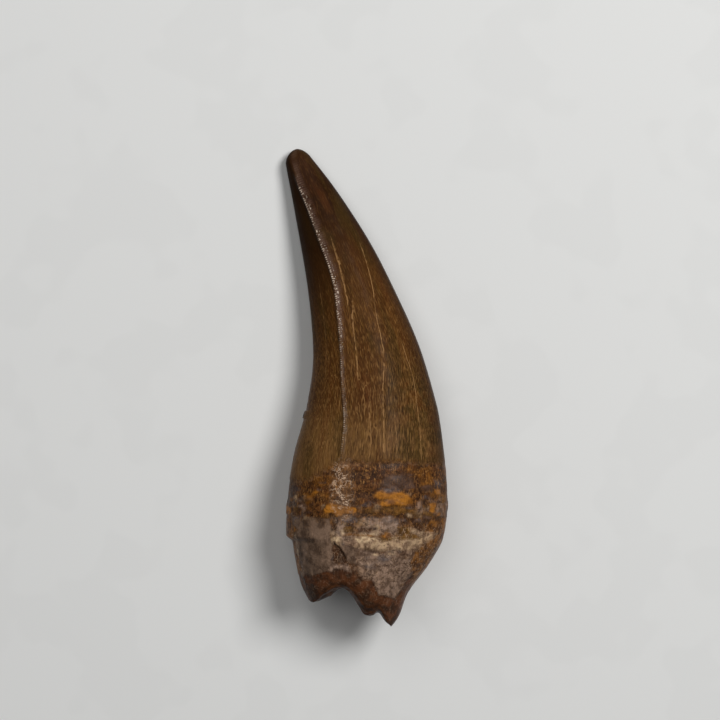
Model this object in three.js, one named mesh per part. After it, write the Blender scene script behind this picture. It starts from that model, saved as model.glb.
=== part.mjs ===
// A fossil tooth of a large tyrannosaur: one curved crown, two cutting ridges (carinae) and the broken root
// stump, all grown as one piece. It lies on its hidden side, tip toward +Y, outer (labial) curve toward +X.
import * as THREE from "three";
import { mergeVertices } from "three/addons/utils/BufferGeometryUtils.js";

// ---- Driving sizes, in millimetres ----------------------------------------------------
// The tooth's own frame: x toward the labial (outer) side, y toward the tip, z toward the side that shows.

// Centre line of the tooth, from the tip down past the broken end of the root.
const CENTRE_LINE = [
  [-18.0, 118.9], [-10.9, 101.5], [-4.6, 84.5], [-0.2, 68.0], [1.0, 54.0],
  [0.4, 40.0], [0.0, 27.0], [-0.8, 14.0], [-2.2, 0.0], [-4.0, -14.0],
];

// Distance from the tip, then the reach to the lingual side and to the labial side, then the half depth in
// front and behind.
const GIRTH = [
  [0, 3.05, 2.0, 2.3, 2.1],
  [12, 5.5, 5.35, 4.4, 3.5],
  [26, 8.3, 8.35, 6.7, 5.2],
  [44, 11.7, 11.25, 9.1, 7.5],
  [58, 14.3, 14.1, 11.1, 9.4],
  [72, 17.0, 17.5, 13.0, 11.5],
  [84, 19.4, 19.6, 14.3, 13.4],
  [93, 20.2, 20.1, 14.8, 14.5],
  [100, 20.1, 19.15, 14.6, 14.4],
  [106, 19.0, 16.1, 13.9, 13.4],
  [112, 17.4, 12.1, 12.9, 12.2],
  [118, 15.2, 10.35, 11.9, 11.2],
  [130, 11.5, 7.8, 9.6, 9.4],
];
const LINGUAL = 1;
const LABIAL = 2;
const FRONT = 3;
const BACK = 4;

const TIP_DOME = 2.8; // length of the worn, rounded tip
const LINGUAL_SQUARENESS = 0.8; // powers under 1 fill out that quarter of the section
const LABIAL_SQUARENESS = 0.96;
const BACK_SQUARENESS = 0.85;

// Front cutting ridge: distance from the tip, then its place as a share of the lingual reach.
const FRONT_RIDGE = [
  [0, 0.6], [7, 0.53], [15, 0.41], [24, 0.345], [30, 0.305], [36, 0.315], [44, 0.395],
  [52, 0.445], [60, 0.455], [72, 0.38], [84, 0.37], [130, 0.37],
];
const BACK_RIDGE_SHARE = 0.78;
const RIDGE = { height: 0.38, width: 0.62, start: 3, full: 9, fade: 76, end: 86 };

// The lingual facet is hollowed a little between ridge and edge; the hollow fades out down the crown.
const FACET = { share: 0.09, start: 1, full: 8, fade: 34, end: 70 };

// Long shallow groove down the hidden side of the root.
const GROOVE = { depth: 1.0, offset: 1.0, width: 6.5, start: 40, full: 70, fade: 106, end: 119 };

// A layer flaked off the lingual side of the root, below this height.
const FLAKE = { top: 21.7, blend: 0.7, depth: 1.35, halfAngle: 0.95 };

// Lower outline of the broken root, x then y, seen from the side that shows.
const BREAK = [
  [-19, 8.8], [-15, 6.5], [-13.1, 5.65], [-10.6, 6.45], [-6.7, 8.9], [-4.6, 8.3], [-2.6, 5.7],
  [-0.8, 3.1], [1.3, 2.85], [2.9, 3.4], [4.6, 1.2], [6.3, -0.15], [8.2, -0.1], [14, 2],
];
// Crest of the broken face: x, then the z where it hangs lowest, then how wide in z that lobe is.
const BREAK_CREST = [
  [-19, 1.5, 9], [-10, 3.5, 9], [-3, 5, 11], [3, 5.5, 10], [6, 3.6, 7], [9, 1.2, 6], [14, 0, 6],
];
const BREAK_LEVEL = 10.0; // height of the broken face between its lobes
const BREAK_RISE = { height: 3.5, span: 12.0 }; // and its climb toward the front and back rims
const HOLLOW = { x: -4.0, z: 0.5, depth: 6.0, share: 0.62 }; // shallow pulp hollow in the broken face
const LIP = { reach: 3.4, depth: 0.8 }; // the wall is worn back round the rim of the break
const ROOT_SEARCH = { from: 90, to: 128 }; // distances between which the wall meets the break

// Resting attitude on the hidden side, and the flats worn or pressed where it touches.
const REST_PITCH = THREE.MathUtils.degToRad(-7.5);
const REST_ROLL = THREE.MathUtils.degToRad(2.47);
const CONTACT_WEAR = 0.3;

// ---- Mesh fineness --------------------------------------------------------------------
const COLUMNS = 72;
const WALL_ROWS = 48;
const TIP_ROWS_SHARE = 0.08; // share of the rows that crowd toward the tip
const TIP_ROWS_POWER = 1.35;
const WALL_LENGTH = 116; // rows run straight across the tooth to here unless the break pulls them away
const BREAK_PULL_START = 0.62; // share of the wall where rows begin to lean toward the broken rim
const END_RINGS = 9;
const RIDGE_PULL = THREE.MathUtils.degToRad(58); // how far round the section a ridge draws its columns

const TOOTH_COLOUR = 0x57391f;

// ---- Small helpers --------------------------------------------------------------------
const smooth = (from, to, x) => THREE.MathUtils.smoothstep(x, from, to);
const fadeInOut = (band, x) => smooth(band.start, band.full, x) * (1 - smooth(band.fade, band.end, x));

/** Value of one column of a table at x, by a cubic through the rows with secant slopes. */
function along(table, x, column = 1) {
  const last = table.length - 1;
  const slope = (i) => {
    const a = table[Math.max(i - 1, 0)];
    const b = table[Math.min(i + 1, last)];
    return (b[column] - a[column]) / (b[0] - a[0]);
  };
  let i = 0;
  while (i < last - 1 && x >= table[i + 1][0]) i += 1;
  const [a, b] = [table[i], table[i + 1]];
  const h = b[0] - a[0];
  const f = THREE.MathUtils.clamp((x - a[0]) / h, 0, 1);
  const f2 = f * f;
  const f3 = f2 * f;
  return (2 * f3 - 3 * f2 + 1) * a[column] + (f3 - 2 * f2 + f) * h * slope(i)
    + (3 * f2 - 2 * f3) * b[column] + (f3 - f2) * h * slope(i + 1);
}

// ---- The centre line ------------------------------------------------------------------
const spine = new THREE.CatmullRomCurve3(
  CENTRE_LINE.map(([x, y]) => new THREE.Vector3(x, y, 0)), false, "catmullrom", 0.5,
);
spine.arcLengthDivisions = 800;
const SPINE_LENGTH = spine.getLength();

/** Centre, and the unit vector toward the labial side, at a distance from the tip. */
function crossing(distance) {
  const u = THREE.MathUtils.clamp(distance / SPINE_LENGTH, 0, 1);
  const centre = spine.getPointAt(u);
  const down = spine.getTangentAt(u);
  return { centre, across: new THREE.Vector3(-down.y, down.x, 0) };
}

// ---- The section ----------------------------------------------------------------------
const ridgeAngle = (share) => Math.PI - Math.acos(share ** (1 / LINGUAL_SQUARENESS));
const frontRidgeAngle = (distance) => ridgeAngle(along(FRONT_RIDGE, distance));
const BACK_RIDGE_ANGLE = -ridgeAngle(BACK_RIDGE_SHARE);

/** Plain rounded section: p toward the labial side, q toward the front. At angle 0 it is labial. */
function plainSection(distance, angle) {
  const c = Math.cos(angle);
  const s = Math.sin(angle);
  const p = c > 0
    ? along(GIRTH, distance, LABIAL) * c ** LABIAL_SQUARENESS
    : -along(GIRTH, distance, LINGUAL) * (-c) ** LINGUAL_SQUARENESS;
  const q = s > 0
    ? along(GIRTH, distance, FRONT) * s
    : -along(GIRTH, distance, BACK) * (-s) ** BACK_SQUARENESS;
  return { p, q };
}

/** Push a section point outward by an amount, or inward if negative. */
function push(point, amount) {
  const radius = Math.hypot(point.p, point.q);
  if (radius < 1e-6) return;
  point.p *= 1 + amount / radius;
  point.q *= 1 + amount / radius;
}

/** Point of the tooth's wall at a distance from the tip and an angle in -180..180 degrees, in radians. */
function wallPoint(distance, angle) {
  const { centre, across } = crossing(distance);
  const frontAngle = frontRidgeAngle(distance);
  const point = plainSection(distance, angle);

  if (angle > frontAngle) {
    const share = (angle - frontAngle) / (Math.PI - frontAngle);
    const depth = FACET.share * along(GIRTH, distance, FRONT) * fadeInOut(FACET, distance);
    point.q -= depth * Math.sin(Math.PI * share);
  }
  if (angle < 0) {
    const off = (point.p - GROOVE.offset) / GROOVE.width;
    point.q += GROOVE.depth * fadeInOut(GROOVE, distance) * Math.exp(-(off ** 2));
  }
  for (const crest of [frontAngle, BACK_RIDGE_ANGLE]) {
    const at = plainSection(distance, crest);
    const away = Math.hypot(point.p - at.p, point.q - at.q);
    push(point, RIDGE.height * fadeInOut(RIDGE, distance) * Math.exp(-((away / RIDGE.width) ** 2)));
  }

  const dome = Math.sqrt(Math.max(0, 1 - (1 - Math.min(distance / TIP_DOME, 1)) ** 2));
  const height = centre.y + across.y * point.p * dome;
  const side = Math.exp(-(((Math.PI - Math.abs(angle)) / FLAKE.halfAngle) ** 4));
  push(point, -FLAKE.depth * side * (1 - smooth(FLAKE.top - FLAKE.blend, FLAKE.top + FLAKE.blend, height)));
  point.p *= dome;
  point.q *= dome;

  const above = centre.y + across.y * point.p - breakHeight(centre.x + across.x * point.p, point.q);
  push(point, -LIP.depth * THREE.MathUtils.clamp(1 - above / LIP.reach, 0, 1) ** 2);
  return new THREE.Vector3(centre.x + across.x * point.p, centre.y + across.y * point.p, point.q);
}

/** Angle of a column at a distance from the tip: one column stays on the crest of each cutting ridge. */
function columnAngle(column, distance) {
  const step = (2 * Math.PI) / COLUMNS;
  const even = -Math.PI + column * step;
  let angle = even;
  for (const crest of [frontRidgeAngle(distance), BACK_RIDGE_ANGLE]) {
    const nearestTo = crest > 0 ? ridgeAngle(0.4) : BACK_RIDGE_ANGLE;
    const home = -Math.PI + Math.round((nearestTo + Math.PI) / step) * step;
    const away = Math.abs(even - home);
    if (away < RIDGE_PULL) angle += (crest - home) * Math.cos((Math.PI / 2) * (away / RIDGE_PULL)) ** 2;
  }
  return angle;
}

// ---- The broken end -------------------------------------------------------------------
/** Height of the broken face over the tooth's own x and z. */
function breakHeight(x, z) {
  const away = z - along(BREAK_CREST, x, 1);
  const lobe = Math.exp(-((away / along(BREAK_CREST, x, 2)) ** 2));
  const rise = BREAK_RISE.height * (away / BREAK_RISE.span) ** 2;
  return BREAK_LEVEL + (along(BREAK, x) - BREAK_LEVEL) * lobe + rise;
}

/** Distance from the tip at which a column of the wall runs into the break. */
function rimDistance(column) {
  let { from, to } = ROOT_SEARCH;
  for (let pass = 0; pass < 30; pass += 1) {
    const middle = (from + to) / 2;
    const point = wallPoint(middle, columnAngle(column, middle));
    if (point.y > breakHeight(point.x, point.z)) from = middle;
    else to = middle;
  }
  return (from + to) / 2;
}

/** Point of the broken end: share 1 is the rim, 0 the middle of the hollow. */
function breakPoint(rim, share) {
  const x = THREE.MathUtils.lerp(HOLLOW.x, rim.x, share);
  const z = THREE.MathUtils.lerp(HOLLOW.z, rim.z, share);
  return new THREE.Vector3(x, breakHeight(x, z) + HOLLOW.depth * (1 - smooth(0, HOLLOW.share, share)), z);
}

// ---- Building the mesh ----------------------------------------------------------------
function toothRings() {
  const rims = Array.from({ length: COLUMNS }, (_, column) => rimDistance(column));
  const rings = [];
  for (let row = 1; row <= WALL_ROWS; row += 1) {
    const share = row / WALL_ROWS;
    const crowded = share < TIP_ROWS_SHARE
      ? share ** TIP_ROWS_POWER / TIP_ROWS_SHARE ** (TIP_ROWS_POWER - 1)
      : share;
    const lean = smooth(BREAK_PULL_START, 1, share);
    rings.push(rims.map((rim, column) => {
      const distance = WALL_LENGTH * crowded + (rim - WALL_LENGTH) * lean;
      return wallPoint(distance, columnAngle(column, distance));
    }));
  }
  const rimRing = rings[rings.length - 1];
  for (let ring = 1; ring < END_RINGS; ring += 1) {
    const share = 1 - ring / END_RINGS;
    rings.push(rimRing.map((rim) => breakPoint(rim, share)));
  }
  return rings;
}

/** Closed surface over the rings, with one point at the tip and one in the hollow. */
function closeOver(rings, first, last) {
  const points = [first, ...rings.flat(), last];
  const index = [];
  const at = (ring, column) => 1 + ring * COLUMNS + (column % COLUMNS);
  for (let column = 0; column < COLUMNS; column += 1) {
    index.push(0, at(0, column + 1), at(0, column));
    for (let ring = 0; ring < rings.length - 1; ring += 1) {
      const [a, b] = [at(ring, column), at(ring, column + 1)];
      const [c, d] = [at(ring + 1, column), at(ring + 1, column + 1)];
      index.push(a, d, c, a, b, d);
    }
    index.push(at(rings.length - 1, column), at(rings.length - 1, column + 1), points.length - 1);
  }
  const geometry = new THREE.BufferGeometry().setFromPoints(points);
  geometry.setIndex(index);
  return mergeVertices(geometry, 1e-5);
}

/** Lay the tooth down: turn it to its resting attitude, seat it on z = 0 and flatten what touches. */
function layDown(geometry) {
  geometry.rotateY(REST_ROLL);
  geometry.rotateX(REST_PITCH);
  geometry.computeBoundingBox();
  const box = geometry.boundingBox;
  const middle = box.getCenter(new THREE.Vector3());
  geometry.translate(-middle.x, -middle.y, -box.min.z - CONTACT_WEAR);
  const position = geometry.getAttribute("position");
  for (let i = 0; i < position.count; i += 1) position.setZ(i, Math.max(0, position.getZ(i)));
  geometry.computeVertexNormals();
  return geometry;
}

const tipPoint = new THREE.Vector3(CENTRE_LINE[0][0], CENTRE_LINE[0][1], 0);
const hollowPoint = breakPoint(tipPoint, 0);

const tooth = new THREE.Mesh(
  layDown(closeOver(toothRings(), tipPoint, hollowPoint)),
  new THREE.MeshStandardMaterial({ color: TOOTH_COLOUR, roughness: 0.35, metalness: 0 }),
);
tooth.name = "tooth";

const part = new THREE.Group();
part.add(tooth);

export default part;
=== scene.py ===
"""A fossil tyrannosaur tooth lying on its hidden side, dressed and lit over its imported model.

The tooth's own frame is in millimetres: x toward the labial (outer) side, y toward the tip, z toward the
side that shows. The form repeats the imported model's formulas, then adds the fine relief: saw teeth, cracks,
flakes, stains. A distance is along the centre line from the tip, and an angle runs round the section from
the labial side, with a right angle in front.
"""

import logging
import math
from dataclasses import dataclass
from enum import Enum
from functools import reduce

import bpy
import numpy as np
from mathutils import Matrix, Vector


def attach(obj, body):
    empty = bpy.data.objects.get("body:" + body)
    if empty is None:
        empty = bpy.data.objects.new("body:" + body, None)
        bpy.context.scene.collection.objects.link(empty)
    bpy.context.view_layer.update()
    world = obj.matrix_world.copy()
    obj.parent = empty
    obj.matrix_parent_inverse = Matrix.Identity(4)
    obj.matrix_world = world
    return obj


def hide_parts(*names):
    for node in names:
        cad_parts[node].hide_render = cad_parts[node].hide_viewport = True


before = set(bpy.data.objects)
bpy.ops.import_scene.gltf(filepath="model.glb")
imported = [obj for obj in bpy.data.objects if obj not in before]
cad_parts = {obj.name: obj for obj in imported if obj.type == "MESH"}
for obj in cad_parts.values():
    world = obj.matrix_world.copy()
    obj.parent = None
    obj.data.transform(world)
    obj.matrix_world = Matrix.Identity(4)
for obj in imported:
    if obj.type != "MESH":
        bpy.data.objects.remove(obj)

LOG = logging.getLogger("tooth")
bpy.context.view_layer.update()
METRES = 0.001  # one millimetre
GRAIN_DEPTH = 0.55  # the grain runs this much coarser round the flanks than across the faces
TINY = 1e-6
HASH_AXES = np.array([73856093, 19349663, 83492791])
HASH_SEED, HASH_FIRST, HASH_SECOND = 97531, 1274126177, 668265263
OCTAVE_RANGE = 1.6  # brings a sum of octaves back to about -1..1

Rows = tuple[tuple[float, ...], ...]
Display = tuple[int, int, int]
Stretch = tuple[float, float, float]
Socket = bpy.types.NodeSocket
Given = bpy.types.bpy_prop_collection
PLAIN = (1.0, 1.0, 1.0)  # no stretch


# ---------------------------------------------------------------- small mathematics


def smooth(low: float, high: float, x: np.ndarray) -> np.ndarray:
    """Smooth step from 0 at low to 1 at high."""
    share = np.clip((x - low) / (high - low), 0.0, 1.0)
    return share * share * (3.0 - 2.0 * share)


def bell(x: np.ndarray, width: float | np.ndarray) -> np.ndarray:
    """Bell curve of height 1 round 0."""
    return np.exp(-((x / width) ** 2))


def along(rows: Rows, x: np.ndarray, column: int = 1) -> np.ndarray:
    """One column of a table read at x, by a cubic through its rows with secant slopes.

    Args:
        rows: Table whose first column rises.
        x: Where to read it.
        column: Which column to read.

    Returns:
        The values, held at the ends outside the table.
    """
    table = np.array(rows, float)
    places, values = table[:, 0], table[:, column]
    slopes = np.empty_like(values)
    slopes[1:-1] = (values[2:] - values[:-2]) / (places[2:] - places[:-2])
    slopes[0] = (values[1] - values[0]) / (places[1] - places[0])
    slopes[-1] = (values[-1] - values[-2]) / (places[-1] - places[-2])
    x = np.asarray(x, float)
    i = np.clip(np.searchsorted(places, x, side="right") - 1, 0, len(places) - 2)
    span = places[i + 1] - places[i]
    f = np.clip((x - places[i]) / span, 0.0, 1.0)
    f2, f3 = f * f, f * f * f
    start = (2 * f3 - 3 * f2 + 1) * values[i] + (f3 - 2 * f2 + f) * span * slopes[i]
    return start + (3 * f2 - 2 * f3) * values[i + 1] + (f3 - f2) * span * slopes[i + 1]


def lattice_noise(points: np.ndarray, seed: int) -> np.ndarray:
    """Smooth lattice noise, the same for the same seed.

    Args:
        points: Places, of shape (..., 3), one lattice cell a unit.
        seed: Which pattern.

    Returns:
        Values in -1..1, of shape (...).
    """
    cell = np.floor(points).astype(np.int64)
    f = points - cell
    f = f * f * f * (f * (f * 6.0 - 15.0) + 10.0)
    total = np.zeros(points.shape[:-1])
    for corner in range(8):
        step = np.array([(corner >> axis) & 1 for axis in range(3)])
        mixed = (cell + step) @ HASH_AXES + seed * HASH_SEED
        mixed = (mixed ^ (mixed >> 13)) * HASH_FIRST & 0x7FFFFFFF
        mixed = (mixed ^ (mixed >> 15)) * HASH_SECOND & 0x7FFFFFFF
        weight = np.prod(np.where(step == 1, f, 1.0 - f), axis=-1)
        total += weight * ((mixed >> 8 & 0xFFFF) / 32767.5 - 1.0)
    return total


def rough(points: np.ndarray, size: float, seed: int, octaves: int) -> np.ndarray:
    """Several octaves of lattice noise.

    Args:
        points: Places in millimetres, of shape (..., 3).
        size: Size of the largest lumps, in millimetres.
        seed: Which pattern.
        octaves: How many layers, each half as large and half as strong.

    Returns:
        Values of about -1..1.
    """
    total = np.zeros(points.shape[:-1])
    for octave in range(octaves):
        total += lattice_noise(points * (2**octave / size), seed + octave) / 2**octave
    return total / OCTAVE_RANGE


@dataclass(frozen=True)
class Lumps:
    """Unevenness of one height and size, in millimetres, with its own seed."""

    height: float
    size: float
    seed: int
    octaves: int

    def at(self, points: np.ndarray) -> np.ndarray:
        """Its value at points of shape (..., 3)."""
        return self.height * rough(points, self.size, self.seed, self.octaves)


@dataclass(frozen=True)
class Band:
    """A stretch where something fades in and out, in millimetres from the tip unless it says otherwise."""

    start: float
    full: float
    fade: float
    end: float

    def at(self, distance: np.ndarray) -> np.ndarray:
        """How strong it is there, 0 to 1."""
        return smooth(self.start, self.full, distance) * (1.0 - smooth(self.fade, self.end, distance))


# ---------------------------------------------------------------- the form


@dataclass(frozen=True)
class ToothForm:
    """The tooth's plain form, as packed. Lengths in millimetres."""

    centre_line: Rows = (
        (-18.0, 118.9), (-10.9, 101.5), (-4.6, 84.5), (-0.2, 68.0), (1.0, 54.0),
        (0.4, 40.0), (0.0, 27.0), (-0.8, 14.0), (-2.2, 0.0), (-4.0, -14.0),
    )
    # distance; lingual reach; labial reach; half depth in front; half depth behind
    girth: Rows = (
        (0, 3.05, 2.0, 2.3, 2.1),
        (12, 5.5, 5.35, 4.4, 3.5),
        (26, 8.3, 8.35, 6.7, 5.2),
        (44, 11.7, 11.25, 9.1, 7.5),
        (58, 14.3, 14.1, 11.1, 9.4),
        (72, 17.0, 17.5, 13.0, 11.5),
        (84, 19.4, 19.6, 14.3, 13.4),
        (93, 20.2, 20.1, 14.8, 14.5),
        (100, 20.1, 19.15, 14.6, 14.4),
        (106, 19.0, 16.1, 13.9, 13.4),
        (112, 17.4, 12.1, 12.9, 12.2),
        (118, 15.2, 10.35, 11.9, 11.2),
        (130, 11.5, 7.8, 9.6, 9.4),
    )
    spine_steps: int = 1601
    tip_dome: float = 2.8
    lingual_squareness: float = 0.8
    labial_squareness: float = 0.96
    back_squareness: float = 0.85
    # distance; place of the front ridge as a share of the lingual reach
    front_ridge: Rows = (
        (0, 0.6), (7, 0.53), (15, 0.41), (24, 0.345), (30, 0.305), (36, 0.315), (44, 0.395),
        (52, 0.445), (60, 0.455), (72, 0.38), (84, 0.37), (130, 0.37),
    )
    back_ridge_share: float = 0.78
    ridge_height: float = 0.38
    ridge_width: float = 0.62
    ridge_band: Band = Band(3, 9, 76, 86)
    facet_share: float = 0.09
    facet_band: Band = Band(1, 8, 34, 70)
    groove_depth: float = 1.0
    groove_offset: float = 1.0
    groove_width: float = 6.5
    groove_band: Band = Band(40, 70, 106, 119)
    flake_top: float = 21.7
    flake_blend: float = 0.7
    flake_depth: float = 1.35
    flake_half_angle: float = 0.95
    # lower outline of the broken root, x then y
    break_line: Rows = (
        (-19, 8.8), (-15, 6.5), (-13.1, 5.65), (-10.6, 6.45), (-6.7, 8.9), (-4.6, 8.3), (-2.6, 5.7),
        (-0.8, 3.1), (1.3, 2.85), (2.9, 3.4), (4.6, 1.2), (6.3, -0.15), (8.2, -0.1), (14, 2),
    )
    # x; z of the crest of the broken face; width of its lobe
    break_crest: Rows = (
        (-19, 1.5, 9), (-10, 3.5, 9), (-3, 5, 11), (3, 5.5, 10), (6, 3.6, 7), (9, 1.2, 6), (14, 0, 6)
    )
    break_level: float = 10.0
    break_rise: float = 3.5
    break_rise_span: float = 12.0
    hollow: tuple[float, float] = (-4.0, 0.5)
    hollow_depth: float = 6.0
    hollow_share: float = 0.62
    root_search: tuple[float, float] = (90.0, 128.0)
    root_halvings: int = 30
    lip_reach: float = 3.4
    lip_depth: float = 0.8

    def spine(self, distance: np.ndarray) -> tuple[np.ndarray, np.ndarray]:
        """The centre line at a distance from the tip.

        Args:
            distance: Millimetres along it.

        Returns:
            Centres and unit vectors toward the labial side, of shape (..., 2).
        """
        knots = np.array(self.centre_line)
        knots = np.vstack([2 * knots[0] - knots[1], knots, 2 * knots[-1] - knots[-2]])
        pieces = len(self.centre_line) - 1

        def curve(u: np.ndarray) -> np.ndarray:
            """Uniform Catmull-Rom curve through the knots.

            Args:
                u: Share of the way along, 0 to 1.

            Returns:
                Its points, of shape (..., 2).
            """
            i = np.clip(np.floor(u * pieces).astype(int), 0, pieces - 1)
            f = (u * pieces - i)[..., None]
            a, b, c, d = knots[i], knots[i + 1], knots[i + 2], knots[i + 3]
            bend = (2 * a - 5 * b + 4 * c - d) * f**2 + (3 * b - a - 3 * c + d) * f**3
            return 0.5 * (2 * b + (c - a) * f + bend)

        shares = np.linspace(0.0, 1.0, self.spine_steps)
        steps = np.linalg.norm(np.diff(curve(shares), axis=0), axis=1)
        u = np.interp(distance, np.concatenate([[0.0], np.cumsum(steps)]), shares)
        nudge = 1e-4
        down = curve(np.clip(u + nudge, 0, 1)) - curve(np.clip(u - nudge, 0, 1))
        down /= np.linalg.norm(down, axis=-1, keepdims=True)
        return curve(u), np.stack([-down[..., 1], down[..., 0]], -1)

    def ridge_angle(self, share: float | np.ndarray) -> np.ndarray:
        """Angle round the section at a share of the lingual reach."""
        return math.pi - np.arccos(np.asarray(share) ** (1.0 / self.lingual_squareness))

    def front_angle(self, distance: np.ndarray) -> np.ndarray:
        """Angle of the front cutting ridge."""
        return self.ridge_angle(along(self.front_ridge, distance))

    def back_angle(self) -> float:
        """Angle of the hidden side's cutting ridge."""
        return -float(self.ridge_angle(self.back_ridge_share))

    def section(self, distance: np.ndarray, angle: np.ndarray) -> tuple[np.ndarray, np.ndarray]:
        """Plain rounded section.

        Args:
            distance: Millimetres from the tip.
            angle: Angle round the section.

        Returns:
            Offsets from the centre toward the labial side and toward the front.
        """
        cosine, sine = np.cos(angle), np.sin(angle)
        lingual = -along(self.girth, distance, 1) * np.abs(cosine) ** self.lingual_squareness
        labial = along(self.girth, distance, 2) * np.abs(cosine) ** self.labial_squareness
        front = along(self.girth, distance, 3) * np.abs(sine)
        back = -along(self.girth, distance, 4) * np.abs(sine) ** self.back_squareness
        return np.where(cosine > 0, labial, lingual), np.where(sine > 0, front, back)

    def ridged_section(self, distance: np.ndarray, angle: np.ndarray) -> tuple[np.ndarray, np.ndarray]:
        """The section with its facet in front, its groove behind and both cutting ridges.

        Args:
            distance: Millimetres from the tip.
            angle: Angle round the section.

        Returns:
            Offsets from the centre toward the labial side and toward the front.
        """
        p, q = self.section(distance, angle)
        front_angle = self.front_angle(distance)
        share = np.clip((angle - front_angle) / (math.pi - front_angle), 0.0, 1.0)
        facet = self.facet_share * along(self.girth, distance, 3) * self.facet_band.at(distance)
        q = q - facet * np.sin(math.pi * share)
        groove = self.groove_depth * self.groove_band.at(distance)
        q = q + np.where(angle < 0, groove * bell(p - self.groove_offset, self.groove_width), 0.0)
        for crest in (front_angle, np.full_like(distance, self.back_angle())):
            crest_p, crest_q = self.section(distance, crest)
            away = np.hypot(p - crest_p, q - crest_q)
            lift = self.ridge_height * self.ridge_band.at(distance) * bell(away, self.ridge_width)
            radius = np.hypot(p, q) + TINY
            p, q = p * (1 + lift / radius), q * (1 + lift / radius)
        return p, q

    def wall(self, distance: np.ndarray, angle: np.ndarray, relief: np.ndarray | float = 0.0) -> np.ndarray:
        """Points of the wall.

        Args:
            distance: Millimetres from the tip.
            angle: Angle round the section, in radians from minus pi to pi.
            relief: Extra height of the surface, in millimetres.

        Returns:
            Points of shape (..., 3) in the tooth's frame.
        """
        distance, angle = np.broadcast_arrays(np.asarray(distance, float), np.asarray(angle, float))
        centre, across = self.spine(distance)
        p, q = self.ridged_section(distance, angle)
        dome = np.sqrt(np.maximum(0.0, 1 - (1 - np.clip(distance / self.tip_dome, 0, 1)) ** 2))
        height = centre[..., 1] + across[..., 1] * p * dome
        lost = self.flake_depth * np.exp(-(((math.pi - np.abs(angle)) / self.flake_half_angle) ** 4))
        top, blend = self.flake_top, self.flake_blend
        lost = lost * (1 - smooth(top - blend, top + blend, height))
        grown = dome * (1 + (relief - lost) / (np.hypot(p, q) + TINY))
        p, q = p * grown, q * grown
        level = self.break_height(centre[..., 0] + across[..., 0] * p, q)
        above = centre[..., 1] + across[..., 1] * p - level
        worn = self.lip_depth * np.clip(1 - above / self.lip_reach, 0, 1) ** 2 / (np.hypot(p, q) + TINY)
        p, q = p * (1 - worn), q * (1 - worn)
        return np.stack([centre[..., 0] + across[..., 0] * p, centre[..., 1] + across[..., 1] * p, q], -1)

    def break_height(self, x: np.ndarray, z: np.ndarray) -> np.ndarray:
        """Height of the broken face.

        Args:
            x: Place toward the labial side.
            z: Place toward the front.

        Returns:
            The y of the face there.
        """
        away = z - along(self.break_crest, x, 1)
        lobe = bell(away, along(self.break_crest, x, 2))
        rise = self.break_rise * (away / self.break_rise_span) ** 2
        return self.break_level + (along(self.break_line, x) - self.break_level) * lobe + rise

    def rim(self, angles: np.ndarray) -> np.ndarray:
        """Where each column of the wall runs into the break.

        Args:
            angles: The columns' angles.

        Returns:
            Distances from the tip.
        """
        near = np.full(angles.shape, self.root_search[0])
        far = np.full(angles.shape, self.root_search[1])
        for _ in range(self.root_halvings):
            middle = (near + far) / 2
            points = self.wall(middle, angles)
            above = points[..., 1] > self.break_height(points[..., 0], points[..., 2])
            near, far = np.where(above, middle, near), np.where(above, far, middle)
        return (near + far) / 2


@dataclass(frozen=True)
class Rest:
    """How the tooth lies: turned about its own y, then about x, then set down on its worn contacts."""

    pitch: float = math.radians(-7.5)
    roll: float = math.radians(2.47)
    contact_wear: float = 0.3

    def turn(self) -> Matrix:
        """Rotation from the tooth's frame to the row's."""
        return Matrix.Rotation(self.pitch, 3, "X") @ Matrix.Rotation(self.roll, 3, "Y")

    def shift(self, plain: np.ndarray) -> np.ndarray:
        """Where the turned tooth's frame sits: its plain form centred, with its wear below zero.

        Args:
            plain: Points of the plain form in the tooth's frame.

        Returns:
            The shift in millimetres.
        """
        turned = plain @ np.array(self.turn()).T
        low, high = turned.min(0), turned.max(0)
        return np.array([-(low[0] + high[0]) / 2, -(low[1] + high[1]) / 2, -low[2] - self.contact_wear])


# ---------------------------------------------------------------- marks on the surface


class Stain(Enum):
    """What a patch of the root is. Its number is its place in the stain vectors."""

    RUST = 0
    MAUVE = 1
    GREY = 2
    LILAC = 3
    CREAM = 4
    UMBER = 5
    ORANGE = 6
    SLATE = 7
    RED = 8
    GOLD = 9
    OLIVE = 10
    GLINT = 11
    PALE = 12
    DUSK = 13


STAIN_VECTORS = ("stain_a", "stain_b", "stain_c", "stain_d", "stain_e")  # three kinds in each
NUMBER_FIELDS = ("enamel", "broken", "carina", "crack", "crack_open")


@dataclass(frozen=True)
class Blot:
    """A patch with a rounded outline: an ellipse in the tooth's x and y, before its edge is warped."""

    stain: Stain
    x: float
    y: float
    half_width: float
    half_height: float

    def inside(self, x: np.ndarray, y: np.ndarray) -> np.ndarray:
        """Roughly how far inside its edge a place is, in millimetres, negative outside."""
        reach = np.hypot((x - self.x) / self.half_width, (y - self.y) / self.half_height)
        return (1.0 - reach) * min(self.half_width, self.half_height)


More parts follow.
